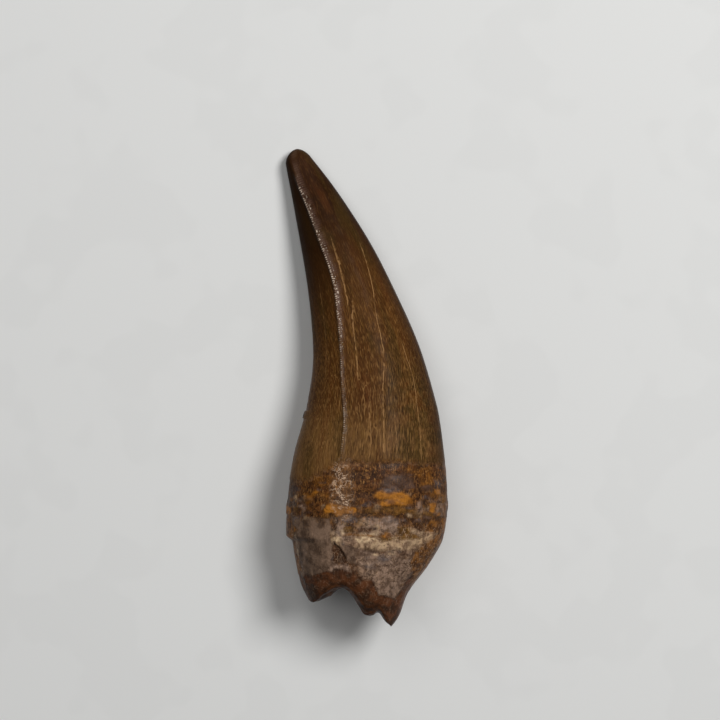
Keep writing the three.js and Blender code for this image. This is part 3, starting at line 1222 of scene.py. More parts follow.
class FibreGroup(EffectGroup):
    """Streaks along the tooth: cells a millimetre across and along, 0 where the noise is Low, 1 at High."""

    name = "lengthwise_fibres"
    vectors = ("Grain",)
    numbers = ("Across", "Along", "Low", "High")

    def draw(self, sheet: Sheet, given: Given) -> dict[str, Socket]:
        """Noise on the unrolled surface, drawn out lengthwise.

        Args:
            sheet: The group's sheet.
            given: Its inputs.

        Returns:
            Its output.
        """
        fineness = sheet.node("ShaderNodeCombineXYZ")
        sheet.feed_all(fineness, {0: given["Across"], 1: given["Across"], 2: given["Along"]})
        value = sheet.noise(sheet.scaled(given["Grain"], fineness.outputs[0]), 1.0, 2.0)
        return {"Mask": sheet.remap(value, given["Low"], given["High"])}


class StainGroup(EffectGroup):
    """A mineral patch laid over what is under it, with a ragged edge and a darker or warmer rim."""

    name = "mineral_patch"
    colours = ("Under", "Light", "Dark", "Rim")
    numbers = ("Field", "Ragged", "Softness", "Mottle", "Lining", "Cover")
    mixes_colour = True
    rim_reach: float = 0.34  # millimetres

    def draw(self, sheet: Sheet, given: Given) -> dict[str, Socket]:
        """Fill inside the ragged field, from Dark to Light by Mottle, then line its edge.

        Args:
            sheet: The group's sheet.
            given: Its inputs.

        Returns:
            Its outputs.
        """
        shifted = sheet.plus(given["Field"], given["Ragged"])
        start = sheet.times(given["Softness"], -1.0)
        mask = sheet.times(sheet.remap(shifted, start, given["Softness"]), given["Cover"])
        body = sheet.mix(given["Mottle"], given["Dark"], given["Light"])
        rim = sheet.remap(sheet.math("ABSOLUTE", shifted), 0.0, self.rim_reach, 1.0, 0.0)
        covered = sheet.mix(mask, given["Under"], body)
        return {"Mask": mask, "Colour": sheet.mix(sheet.times(rim, given["Lining"]), covered, given["Rim"])}


class HairlineGroup(EffectGroup):
    """A hairline crack from a signed distance, with a little waviness."""

    name = "hairline_crack"
    numbers = ("Distance", "Open", "Wobble", "Width")
    fade: tuple[float, float] = (0.45, 1.3)  # in widths

    def draw(self, sheet: Sheet, given: Given) -> dict[str, Socket]:
        """Fall off from the crack's middle to a little past its width.

        Args:
            sheet: The group's sheet.
            given: Its inputs.

        Returns:
            Its output.
        """
        away = sheet.math("ABSOLUTE", sheet.plus(given["Distance"], given["Wobble"]))
        share = sheet.math("DIVIDE", away, given["Width"])
        return {"Mask": sheet.times(sheet.remap(share, *self.fade, 1.0, 0.0), given["Open"])}


class SpeckGroup(EffectGroup):
    """Small specks: the peaks of a noise."""

    name = "specks"
    vectors = ("Place",)
    numbers = ("Scale", "Threshold")
    step: float = 0.07

    def draw(self, sheet: Sheet, given: Given) -> dict[str, Socket]:
        """Step up just above the threshold."""
        value = sheet.noise(given["Place"], given["Scale"], 2.0, 0.6)
        return {"Mask": sheet.remap(sheet.math("SUBTRACT", value, given["Threshold"]), 0.0, self.step)}


class VeinGroup(EffectGroup):
    """Thin winding lines: where a noise crosses its middle value."""

    name = "winding_veins"
    vectors = ("Place",)
    numbers = ("Scale", "Width")
    swirl: float = 0.7
    gap_scale: float = 0.7
    gap_edge: tuple[float, float] = (0.42, 0.6)

    def draw(self, sheet: Sheet, given: Given) -> dict[str, Socket]:
        """Fall off from the line to Width, and leave gaps here and there.

        Args:
            sheet: The group's sheet.
            given: Its inputs.

        Returns:
            Its output.
        """
        value = sheet.noise(given["Place"], given["Scale"], 1.5, 0.5, self.swirl)
        off = sheet.math("ABSOLUTE", sheet.math("SUBTRACT", value, 0.5))
        shown = sheet.remap(sheet.noise(given["Place"], self.gap_scale, 1.0), *self.gap_edge)
        return {"Mask": sheet.times(sheet.remap(off, 0.0, given["Width"], 1.0, 0.0), shown)}


@dataclass(frozen=True)
class Effects:
    """The node groups that the finishes share."""

    fibres: bpy.types.NodeTree
    stain: bpy.types.NodeTree
    hairline: bpy.types.NodeTree
    specks: bpy.types.NodeTree
    veins: bpy.types.NodeTree

    @classmethod
    def make(cls) -> "Effects":
        """Build each group once."""
        groups = (FibreGroup, StainGroup, HairlineGroup, SpeckGroup, VeinGroup)
        return cls(*(group().tree for group in groups))


# ---------------------------------------------------------------- what masks are made of


class Over(Enum):
    """What a noise runs over: the tooth's own frame, or its surface unrolled along the tooth."""

    PLACE = "tooth_mm"
    GRAIN = "grain"


class Measure(Enum):
    """A number known at each place of the surface, in millimetres unless it says otherwise."""

    ENAMEL = "enamel"  # above the enamel's lower edge
    BROKEN = "broken"  # into the broken face, negative on the wall
    RIDGE = "carina"  # from the nearer ridge's crest, negative on its lingual side
    CRACK = "crack"  # from the nearest crack
    CRACK_OPEN = "crack_open"  # 0 to 1
    ALONG = "along"  # from the tip
    LABIAL = "labial"  # the tooth's x
    HEIGHT = "height"  # the tooth's y
    TURN = "turn"  # 1 at the labial side, -1 at the lingual one
    OFF_RIDGE = "off_ridge"  # as RIDGE, without its sign
    SAW_WAVE = "saw_wave"  # 1 on each saw tooth, -1 between them


class Term:
    """Something that masks are made of. It is frozen, so that Paint makes its nodes only once."""

    def make(self, paint: "Paint") -> Socket:
        """Add its nodes and give back their value."""
        raise NotImplementedError


Source = Term | Measure | Stain | float


class Paint:
    """A material being painted: its sheet, the shared groups, the tooth's fields and the terms made."""

    def __init__(self, sheet: Sheet, effects: Effects) -> None:
        """Read the stored fields and work out the other measures.

        Args:
            sheet: The material's sheet.
            effects: The shared groups.
        """
        self.sheet, self.effects = sheet, effects
        self.vectors = {over: self.attribute(over.value, "Vector") for over in Over}
        x, y, _ = self.parts(self.vectors[Over.PLACE])
        across, depth, distance = self.parts(self.vectors[Over.GRAIN])
        depth = sheet.math("DIVIDE", depth, GRAIN_DEPTH)
        squares = [sheet.math("POWER", part, 2.0) for part in (across, depth)]
        self.made: dict[Source, Socket] = {
            Measure.ALONG: distance, Measure.LABIAL: x, Measure.HEIGHT: y,
            Measure.TURN: sheet.math("DIVIDE", across, sheet.math("SQRT", sheet.plus(*squares))),
            Measure.SAW_WAVE: sheet.math("COSINE", sheet.times(distance, 2 * math.pi / SawTeeth().pitch)),
        }
        self.made |= {Measure(name): self.attribute(name, "Fac") for name in NUMBER_FIELDS}
        self.made[Measure.OFF_RIDGE] = sheet.math("ABSOLUTE", self.made[Measure.RIDGE])
        stains = [part for name in STAIN_VECTORS for part in self.parts(self.attribute(name, "Vector"))]
        self.made |= {stain: stains[stain.value] for stain in Stain}

    def attribute(self, name: str, output: str) -> Socket:
        """One output of an attribute node."""
        return self.sheet.node("ShaderNodeAttribute", attribute_name=name).outputs[output]

    def parts(self, vector: Socket) -> list[Socket]:
        """The three parts of a vector."""
        return list(self.sheet.feed_all(self.sheet.node("ShaderNodeSeparateXYZ"), {0: vector}).outputs)

    def over(self, over: Over, stretch: Stretch) -> Socket:
        """What a noise runs over, stretched."""
        return self.sheet.scaled(self.vectors[over], stretch) if stretch != PLAIN else self.vectors[over]

    def value(self, source: Source) -> Socket | float:
        """A source's value, its nodes added when it is first asked for.

        Args:
            source: A number, a measure, a stain's field or a term.

        Returns:
            The number itself, or an output.
        """
        if isinstance(source, (int, float)):
            return source
        if source not in self.made:
            self.made[source] = source.make(self)
        return self.made[source]


@dataclass(frozen=True)
class Cloud(Term):
    """A noise of about 0.5 on average: cells a millimetre, octaves, and how strong the fine ones are."""

    scale: float
    detail: float = 2.0
    roughness: float = 0.5
    over: Over = Over.PLACE
    stretch: Stretch = PLAIN

    def make(self, paint: Paint) -> Socket:
        """Its noise."""
        vector = paint.over(self.over, self.stretch)
        return paint.sheet.noise(vector, self.scale, self.detail, self.roughness)


@dataclass(frozen=True)
class Wander(Term):
    """A source that wanders by so many millimetres for each step of a cloud, or the wandering alone."""

    cloud: Cloud
    reach: float
    of: Source = 0.0

    def make(self, paint: Paint) -> Socket:
        """The source plus the cloud's distance from its middle."""
        from_middle = paint.sheet.math("SUBTRACT", paint.value(self.cloud), 0.5)
        return paint.sheet.plus(paint.sheet.times(from_middle, self.reach), paint.value(self.of))


@dataclass(frozen=True)
class Farthest(Term):
    """How far inside any of several kinds of stain a place is."""

    kinds: tuple[Stain, ...]

    def make(self, paint: Paint) -> Socket:
        """The greatest of their fields."""
        fields = [paint.value(kind) for kind in self.kinds]
        return reduce(lambda most, inside: paint.sheet.math("MAXIMUM", most, inside), fields)


@dataclass(frozen=True)
class Ramp(Term):
    """A smooth step of a source: first where it is at start, last where it is at end."""

    of: Source
    start: float
    end: float
    first: float = 0.0
    last: float = 1.0

    def make(self, paint: Paint) -> Socket:
        """Its step."""
        return paint.sheet.remap(paint.value(self.of), self.start, self.end, self.first, self.last)


@dataclass(frozen=True)
class Product(Term):
    """Sources multiplied."""

    factors: tuple[Source, ...]

    def make(self, paint: Paint) -> Socket:
        """Their product."""
        return paint.sheet.times(*map(paint.value, self.factors))


@dataclass(frozen=True)
class Total(Term):
    """Sources, each with its share, added to a plain number."""

    shares: tuple[tuple[Source, float], ...]
    base: float = 0.0

    def make(self, paint: Paint) -> Socket:
        """Their sum."""
        parts = (paint.sheet.times(paint.value(source), share) for source, share in self.shares)
        return paint.sheet.plus(*parts, self.base)


@dataclass(frozen=True)
class Streaks(Term):
    """Lengthwise fibres: cells a millimetre across and along, and the noise's levels they fade between."""

    across: float
    along: float
    low: float
    high: float

    def make(self, paint: Paint) -> Socket:
        """Their mask.

        Args:
            paint: What it paints on.

        Returns:
            The mask.
        """
        return paint.sheet.place(
            paint.effects.fibres, Grain=paint.vectors[Over.GRAIN], Across=self.across, Along=self.along,
            Low=self.low, High=self.high,
        ).outputs["Mask"]


@dataclass(frozen=True)
class FaintLines(Term):
    """Faint lines: where a drawn-out noise crosses its middle, solid up to one level and gone at another."""

    stretch: Stretch
    solid: float
    gone: float

    def make(self, paint: Paint) -> Socket:
        """Their mask."""
        wander = paint.value(Wander(Cloud(1.0, 1.0, 0.5, Over.GRAIN, self.stretch), 1.0))
        return paint.sheet.remap(paint.sheet.math("ABSOLUTE", wander), self.solid, self.gone, 1.0, 0.0)


@dataclass(frozen=True)
class Veins(Term):
    """Thin winding lines: cells a unit, reach in levels of the noise, and how the place is stretched."""

    scale: float
    width: float
    stretch: Stretch = PLAIN

    def make(self, paint: Paint) -> Socket:
        """Their mask.

        Args:
            paint: What it paints on.

        Returns:
            The mask.
        """
        place = paint.over(Over.PLACE, self.stretch)
        placed = paint.sheet.place(paint.effects.veins, Place=place, Scale=self.scale, Width=self.width)
        return placed.outputs["Mask"]


@dataclass(frozen=True)
class Specks(Term):
    """Small specks: cells a millimetre, the noise's level above which they show, and how flat they are."""

    scale: float
    level: float
    flatness: float

    def make(self, paint: Paint) -> Socket:
        """Their mask.

        Args:
            paint: What it paints on.

        Returns:
            The mask.
        """
        place = paint.over(Over.PLACE, (1.0, self.flatness, 1.0))
        placed = paint.sheet.place(paint.effects.specks, Place=place, Scale=self.scale, Threshold=self.level)
        return placed.outputs["Mask"]


@dataclass(frozen=True)
class Hairlines(Term):
    """The hairline cracks: how they wobble, and their width in millimetres."""

    wobble: Wander
    width: float

    def make(self, paint: Paint) -> Socket:
        """Their mask.

        Args:
            paint: What it paints on.

        Returns:
            The mask.
        """
        return paint.sheet.place(
            paint.effects.hairline, Distance=paint.value(Measure.CRACK),
            Open=paint.value(Measure.CRACK_OPEN), Wobble=paint.value(self.wobble), Width=self.width,
        ).outputs["Mask"]


@dataclass(frozen=True)
class TwoTone(Term):
    """A tone that turns into another as a mask rises."""

    first: Display
    second: Display
    by: Source

    def make(self, paint: Paint) -> Socket:
        """Its colour."""
        return paint.sheet.mix(paint.value(self.by), tone(self.first), tone(self.second))


# ---------------------------------------------------------------- finishes

COARSE = Cloud(0.9, 3.0, 0.65)
FINE = Cloud(2.6, 2.0, 0.6)
PATCH_EDGE = Wander(COARSE, 1.0, Wander(FINE, 0.5))  # how patches' edges wander, in millimetres
MOTTLE_EDGE = (0.36, 0.62)  # the noise's levels between a patch's dark and light tones


@dataclass(frozen=True)
class Coat:
    """A tone laid over a colour as far as its masks, multiplied, let it."""

    shade: Display | TwoTone
    masks: tuple[Source, ...]

    def lay(self, paint: Paint, under: object) -> Socket:
        """The colour with this coat on it."""
        shade = paint.value(self.shade) if isinstance(self.shade, TwoTone) else tone(self.shade)
        return paint.sheet.mix(paint.value(Product(self.masks)), under, shade)


@dataclass(frozen=True)
class StainCoat(Term):
    """One kind of stain. As a term it is the mask of the patches, once they are laid."""

    stain: Stain
    light: Display
    dark: Display
    rim: Display
    lining: float  # how much of the rim's tone shows
    cover: float
    mottle_scale: float  # cells a millimetre
    softness: float  # of its edge, in millimetres
    height: float = 0.0  # millimetres above the ground

    def lay(self, paint: Paint, under: object) -> Socket:
        """The colour with these patches on it.

        Args:
            paint: What it paints on.
            under: The colour under them.

        Returns:
            The colour.
        """
        mottle = Ramp(Cloud(self.mottle_scale, 3.0), *MOTTLE_EDGE)
        laid = paint.sheet.place(
            paint.effects.stain, Under=under, Light=tone(self.light), Dark=tone(self.dark),
            Rim=tone(self.rim), Field=paint.value(self.stain), Ragged=paint.value(PATCH_EDGE),
            Softness=self.softness, Mottle=paint.value(mottle), Lining=self.lining, Cover=self.cover,
        )
        paint.made[self] = laid.outputs["Mask"]
        return laid.outputs["Colour"]


@dataclass(frozen=True)
class Finish:
    """One part of the surface: its ground, the coats over it in order, and its other looks."""

    ground: Display
    coats: tuple[Coat | StainCoat, ...]
    roughness: Source
    relief: Source  # millimetres
    gloss: Source

    def colour(self, paint: Paint) -> Socket:
        """The ground under all its coats."""
        return reduce(lambda under, coat: coat.lay(paint, under), self.coats, tone(self.ground))


@dataclass(frozen=True)
class EnamelFinish(Finish):
    """The crown: dark toffee-brown enamel with golden and umber fibres and pale hairline cracks."""

    upper: Display = (40, 20, 6)
    waist: Display = (78, 47, 18)
    lower: Display = (99, 69, 38)
    gold: Display = (112, 80, 30)
    tan: Display = (128, 90, 48)
    tan_low: Display = (144, 106, 62)
    umber: Display = (38, 20, 3)
    red_brown: Display = (78, 42, 16)
    olive: Display = (58, 43, 18)
    shade: Display = (34, 18, 6)
    crack: Display = (150, 112, 70)
    ridge_sheen: Display = (92, 68, 56)
    bead_glint: Display = (222, 202, 180)
    pit: Display = (24, 12, 6)
    pale: TwoTone = TwoTone(tan, tan_low, Ramp(Measure.ALONG, 46, 70))

    broad_cloud: Cloud = Cloud(0.24, 3.0, 0.55, Over.GRAIN, (1.0, 1.0, 0.2))
    dusk_cloud: Cloud = Cloud(0.2, 4.0, 0.65)
    crack_cloud: Cloud = Cloud(0.7, 3.0, 0.5, Over.GRAIN)
    broad_fibres: Streaks = Streaks(0.8, 0.03, 0.4, 0.66)
    strands: Streaks = Streaks(2.8, 0.06, 0.5, 0.36)
    golden_fibres: Streaks = Streaks(2.2, 0.14, 0.52, 0.68)
    dark_fibres: Streaks = Streaks(7.4, 0.2, 0.5, 0.33)
    pale_fibres: Streaks = Streaks(7.4, 0.1, 0.5, 0.67)
    faint_lines: FaintLines = FaintLines((0.9, 0.9, 0.02), 0.003, 0.012)
    grown: Ramp = Ramp(Measure.ALONG, 18, 52, 0.2, 1.0)  # fibres show more away from the tip
    flank: Product = Product((Ramp(Measure.RIDGE, 0.0, 0.25), Ramp(Measure.RIDGE, 0.6, 1.5, 1.0, 0.0)))
    uneven: Ramp = Ramp(Cloud(0.5, over=Over.GRAIN), 0.38, 0.6, 0.3, 1.0)
    toothed: Product = Product((Ramp(Measure.ALONG, 6, 9), Ramp(Measure.ALONG, 70, 82, 1.0, 0.0)))
    cracks: Product = Product(
        (Hairlines(Wander(crack_cloud, 0.35), 0.1), Ramp(crack_cloud, 0.38, 0.55, 0.3, 1.0))
    )

    ground: Display = (52, 30, 16)
    coats: tuple[Coat, ...] = (
        # the ground's tones down the crown, and painted light that makes the lingual side above the root
        # paler
        Coat(upper, (Ramp(Measure.ALONG, 3, 12),)),
        Coat(waist, (Ramp(Measure.ALONG, 12, 46),)),
        Coat(lower, (Ramp(Measure.ALONG, 66, 77),)),
        Coat(tan, (Ramp(Measure.LABIAL, -3, -10), Ramp(Measure.ALONG, 64, 74), 0.25)),
        # broad clouds, and the dusky labial side above the root
        Coat(red_brown, (Ramp(broad_cloud, 0.52, 0.66), 0.5)),
        Coat(olive, (Ramp(broad_cloud, 0.48, 0.34), 0.6)),
        Coat(
            olive,
            (Ramp(dusk_cloud, 0.43, 0.58), Ramp(Measure.LABIAL, 2, 9), Ramp(Measure.ALONG, 54, 64), 0.8),
        ),
        # fibres and faint lines
        Coat(umber, (broad_fibres, grown, 0.2)),
        Coat(umber, (strands, grown, 0.3)),
        Coat(gold, (golden_fibres, grown, 0.22)),
        Coat(umber, (dark_fibres, grown, 0.62)),
        Coat(pale, (pale_fibres, grown, 0.55)),
        Coat(pale, (faint_lines, Ramp(broad_cloud, 0.4, 0.6), Ramp(Measure.ALONG, 30, 50), 0.6)),
        # painted shade on the lingual strip beside the ridge, and painted shade where the crown turns away
        # from the light
        Coat(
            shade,
            (
                Ramp(Measure.RIDGE, -0.5, -0.1, 1.0, 0.0), Ramp(Measure.LABIAL, -14, -4, 1.0, 0.6),
                Ramp(Measure.ALONG, 22, 56, 0.75, 0.0),
            ),
        ),
        Coat(shade, (Ramp(Measure.TURN, 0.7, 1.0), Ramp(Measure.ALONG, 6, 20, 0.2, 0.6))),
        # painted sheen on the ridge's flank, combed by the saw teeth, and a painted highlight line on its
        # crest
        Coat(
            ridge_sheen,
            (
                flank, Ramp(Measure.ALONG, 38, 60, 0.6, 0.0), Ramp(Measure.SAW_WAVE, -0.8, 0.6, 0.55, 1.0),
                uneven,
            ),
        ),
        Coat(ridge_sheen, (Ramp(Measure.OFF_RIDGE, 0.06, 0.2, 1.0, 0.0), toothed, 0.4)),
        # pale worn tips of the saw teeth with painted glints on them, the ladder of pits up the flank, and
        # painted glints in spots beside them
        Coat(
            bead_glint,
            (
                Ramp(Measure.SAW_WAVE, 0.0, 0.7), Ramp(Measure.OFF_RIDGE, 0.08, 0.24, 1.0, 0.0), toothed,
                Ramp(Cloud(0.8, over=Over.GRAIN), 0.44, 0.58, 0.08, 0.85),
                Ramp(Measure.ALONG, 38, 50, 1.0, 0.7), 0.8,
            ),
        ),
        Coat(
            pit,
            (
                flank, Ramp(Measure.ALONG, 36, 48, 1.0, 0.0), Ramp(Measure.RIDGE, 0.6, 1.1, 1.0, 0.0),
                toothed, Ramp(Cloud(0.45, over=Over.GRAIN), 0.48, 0.6),
                Ramp(Measure.SAW_WAVE, -0.7, 0.0, 1.0, 0.0), 0.5,
            ),
        ),
        Coat(
            bead_glint,
            (
                Ramp(Cloud(2.6, 1.0, over=Over.GRAIN), 0.62, 0.68), Ramp(Measure.RIDGE, -0.3, -0.1),
                Ramp(Measure.RIDGE, 0.4, 0.8, 1.0, 0.0), Ramp(Measure.ALONG, 44, 54, 1.0, 0.2), toothed, 0.6,
            ),
        ),
        Coat(crack, (cracks,)),
        # the chip on the lingual edge
        Coat(
            pit,
            (
                Ramp(Stain.UMBER, -0.3, 0.2), Ramp(Measure.HEIGHT, 46, 48),
                Ramp(Measure.TURN, -0.984, -0.997), 0.85,
            ),
        ),
    )
    roughness: Source = Total(((broad_fibres, 0.1),), 0.5)
    relief: Source = Total(
        ((golden_fibres, 0.008), (dark_fibres, -0.012), (cracks, -0.03), (Cloud(3.0, 3.0), 0.012))
    )
    gloss: Source = Product((Ramp(Measure.OFF_RIDGE, 0.2, 1.0, 0.1, 0.02), uneven))


@dataclass(frozen=True)
class RootFinish(Finish):
    """The root stump: mottled dentine under patches of mineral."""

    rust: Display = (104, 66, 30)
    taupe_light: Display = (138, 110, 88)
    taupe_dark: Display = (84, 62, 48)
    vein_pale: Display = (190, 158, 130)
    vein_tan: Display = (150, 102, 54)
    vein_dark: Display = (44, 26, 16)
    glint: Display = (212, 180, 150)
    gilt_and_glint: Display = (176, 126, 70)
    pucker: Display = (116, 86, 62)

    level: Wander = Wander(COARSE, 8.0, Measure.HEIGHT)
    low: Ramp = Ramp(level, 23.5, 26.5, 1.0, 0.0)  # where the ground is taupe
    cloudy: Ramp = Ramp(Cloud(0.6, 3.0), 0.38, 0.62)
    pale: TwoTone = TwoTone(vein_tan, vein_pale, low)
    # veins and specks show less on smooth kinds, and threads less where the ground is taupe
    shown: Ramp = Ramp(Farthest((Stain.RED, Stain.MAUVE, Stain.DUSK, Stain.ORANGE)), -0.5, 0.4, 1.0, 0.35)
    strong: Product = Product((shown, Ramp(level, 23.5, 26.5, 0.45, 1.0)))
    fibres: Streaks = Streaks(1.7, 0.4, 0.36, 0.64)
    dark_threads: Streaks = Streaks(3.6, 0.7, 0.5, 0.3)
    pale_threads: Streaks = Streaks(3.6, 0.7, 0.54, 0.72)
    gilt_and_glint_threads: Streaks = Streaks(3.0, 0.9, 0.58, 0.72)
    dark_veins: Veins = Veins(0.45, 0.05)
    pale_veins: Veins = Veins(0.9, 0.045, (1.2, 0.8, 1.2))
    puckered: Ramp = Ramp(Stain.GLINT, -1.2, 1.2)
    bars: Product = Product((Veins(1.2, 0.09, (0.85, 1.1, 0.85)), puckered))
    grit: Cloud = Cloud(1.5, 3.0, 0.55)
    stains: tuple[StainCoat, ...] = (
        StainCoat(Stain.RUST, (90, 53, 24), (46, 26, 12), (44, 26, 12), 0.1, 0.9, 0.9, 0.7),
        StainCoat(Stain.GOLD, (122, 76, 26), (66, 38, 14), (50, 30, 12), 0.1, 0.9, 0.6, 0.7),
        StainCoat(Stain.MAUVE, (120, 97, 80), (68, 52, 41), (62, 44, 32), 0.45, 0.9, 0.35, 0.4, 0.06),
        StainCoat(Stain.DUSK, (84, 63, 52), (56, 40, 31), (52, 34, 24), 0.35, 0.85, 0.5, 0.5),
        StainCoat(Stain.GREY, (138, 113, 96), (84, 65, 52), (62, 44, 30), 0.35, 0.88, 0.9, 0.55, 0.06),
        StainCoat(Stain.LILAC, (154, 128, 110), (104, 83, 69), (66, 46, 34), 0.4, 0.9, 0.8, 0.45),
        StainCoat(Stain.CREAM, (184, 154, 120), (112, 88, 68), (90, 66, 46), 0.25, 0.86, 0.6, 0.6, 0.06),
        StainCoat(Stain.PALE, (224, 194, 154), (164, 132, 102), (110, 84, 60), 0.2, 0.9, 1.1, 0.4),
        StainCoat(Stain.RED, (84, 47, 25), (46, 26, 14), (38, 23, 15), 0.35, 0.95, 0.4, 0.35),
        StainCoat(Stain.UMBER, (74, 47, 28), (40, 24, 14), (36, 22, 14), 0.15, 0.9, 0.8, 0.45),
        StainCoat(Stain.OLIVE, (106, 72, 26), (68, 44, 16), (50, 32, 12), 0.25, 0.9, 0.7, 0.5),
        StainCoat(Stain.ORANGE, (168, 107, 32), (112, 67, 18), (62, 36, 14), 0.4, 0.92, 0.5, 0.4, 0.06),
        StainCoat(Stain.SLATE, (106, 97, 96), (72, 63, 62), (54, 42, 36), 0.3, 0.75, 1.0, 0.55),
    )

    ground: Display = (52, 32, 16)
    coats: tuple[Coat | StainCoat, ...] = (
        Coat(rust, (cloudy,)),
        Coat(TwoTone(taupe_dark, taupe_light, cloudy), (low,)),
        *stains,
        Coat(pucker, (puckered, 0.45)),
        Coat(vein_dark, (fibres, strong, 0.25)),
        Coat(vein_dark, (dark_threads, strong, 0.4)),
        Coat(pale, (pale_threads, strong, 0.42)),
        # golden streaks below the enamel, partly their own colour and partly painted glints
        Coat(gilt_and_glint, (gilt_and_glint_threads, Ramp(Measure.ENAMEL, -11, -6, 0.1, 0.5), shown)),
        Coat(vein_dark, (dark_veins, shown, 0.5)),
        Coat(pale, (pale_veins, shown, 0.4)),
        # painted glints on the wrinkles of the puckered column
        Coat(glint, (bars, 0.7)),
        # pale specks as painted glints, then small dark pits
        Coat(pale, (Specks(2.4, 0.64, 1.24), shown, 0.6)),
        Coat(vein_dark, (Specks(1.4, 0.61, 1.14), shown, 0.6)),
        # a faint fringe along the enamel's edge, and a dark line at the break
        Coat(
            vein_pale,
            (
                Ramp(Measure.ENAMEL, -1.7, -0.9), Ramp(Measure.ENAMEL, -0.1, 0.7, 1.0, 0.0),
                Ramp(COARSE, 0.5, 0.62), 0.1,
            ),
        ),
        Coat(vein_dark, (Ramp(Wander(FINE, 1.0, Measure.BROKEN), -0.9, -0.3), 0.75)),
    )
    roughness: Source = Ramp(grit, 0.3, 0.7, 0.35, 0.6)
    relief: Source = Total(
        (
            (fibres, 0.03), (grit, 0.16), (dark_veins, -0.05),
            *((coat, coat.height) for coat in stains if coat.height)
        )
    )
    gloss: Source = Total(((bars, 0.25),), 0.06)


@dataclass(frozen=True)
class BreakFinish(Finish):
    """The broken end: reddish-brown fracture, darker and stained toward the hollow."""

    light: Display = (88, 53, 30)
    hollow: Display = (84, 66, 50)
    grit: Cloud = Cloud(1.6, 6.0, 0.7)

    ground: Display = (46, 27, 16)
    coats: tuple[Coat, ...] = (
        Coat(light, (Ramp(Cloud(0.5, 5.0, 0.65), 0.36, 0.64),)),
        Coat(hollow, (Ramp(Measure.BROKEN, 7, 12), 0.8)),
    )
    roughness: Source = Ramp(grit, 0.3, 0.7, 0.4, 0.65)
    relief: Source = Total(((grit, 0.16),))
    gloss: Source = Ramp(Measure.BROKEN, -2.0, 1.0, 0.12, 0.02)


@dataclass(frozen=True)
class ToothFinish:
    """The whole tooth's finish: crown over root over break, under one thin gloss."""

    crown: Finish = EnamelFinish()
    root: Finish = RootFinish()
    broken: Finish = BreakFinish()
    seam: Cloud = Cloud(1.8, 4.0, 0.7)
    on_crown: Ramp = Ramp(Wander(seam, 4.8, Measure.ENAMEL), -1.4, 1.2)
    on_break: Ramp = Ramp(Wander(seam, 1.6, Measure.BROKEN), -0.6, 0.0)
    specular_level: float = 0.025
    coat_roughness: float = 0.3
    edge_from: float = 0.62  # how far a face turns away before its edge takes the gloss
    edge_gloss: float = 0.3

    def material(self, effects: Effects) -> bpy.types.Material:
        """Make the material.

        Args:
            effects: The shared groups.

        Returns:
            The material.
        """
        made = bpy.data.materials.new("fossil_tooth")
        made.use_nodes = True
        made.node_tree.nodes.clear()
        sheet = Sheet(made.node_tree)
        paint = Paint(sheet, effects)

        def joined(root: object, crown: object, broken: object, kind: str = "FLOAT") -> Socket:
            """The three parts' values, mixed over one another."""
            on_crown, on_break = paint.value(self.on_crown), paint.value(self.on_break)
            return sheet.mix(on_break, sheet.mix(on_crown, root, crown, kind), broken, kind)

        parts = (self.root, self.crown, self.broken)
        colour = joined(*(part.colour(paint) for part in parts), "RGBA")
        height = joined(*(paint.value(part.relief) for part in parts))
        gloss = joined(*(paint.value(part.gloss) for part in parts))
        bump = sheet.feed_all(sheet.node("ShaderNodeBump"), {"Height": height, "Distance": METRES})
        facing = sheet.feed_all(sheet.node("ShaderNodeLayerWeight"), {"Blend": 0.5}).outputs["Facing"]
        edge_on = sheet.remap(facing, self.edge_from, 1.0, 0.0, self.edge_gloss)
        shader = sheet.feed_all(sheet.node("ShaderNodeBsdfPrincipled"), {
            "Base Color": colour,
            "Roughness": joined(*(paint.value(part.roughness) for part in parts)),
            "Normal": bump.outputs[0],
            "Specular IOR Level": self.specular_level,
            "Coat Weight": sheet.plus(gloss, edge_on),
            "Coat Roughness": self.coat_roughness,
        })
        sheet.feed_all(sheet.node("ShaderNodeOutputMaterial"), {"Surface": shader.outputs[0]})
        return made


# ---------------------------------------------------------------- floor, lights and camera


@dataclass(frozen=True)
class SoftLight:
    """A round soft light, placed by its angles in degrees from the line of sight."""

    name: str
    power: float
    across: float
    distance: float
    to_right: float
    to_top: float


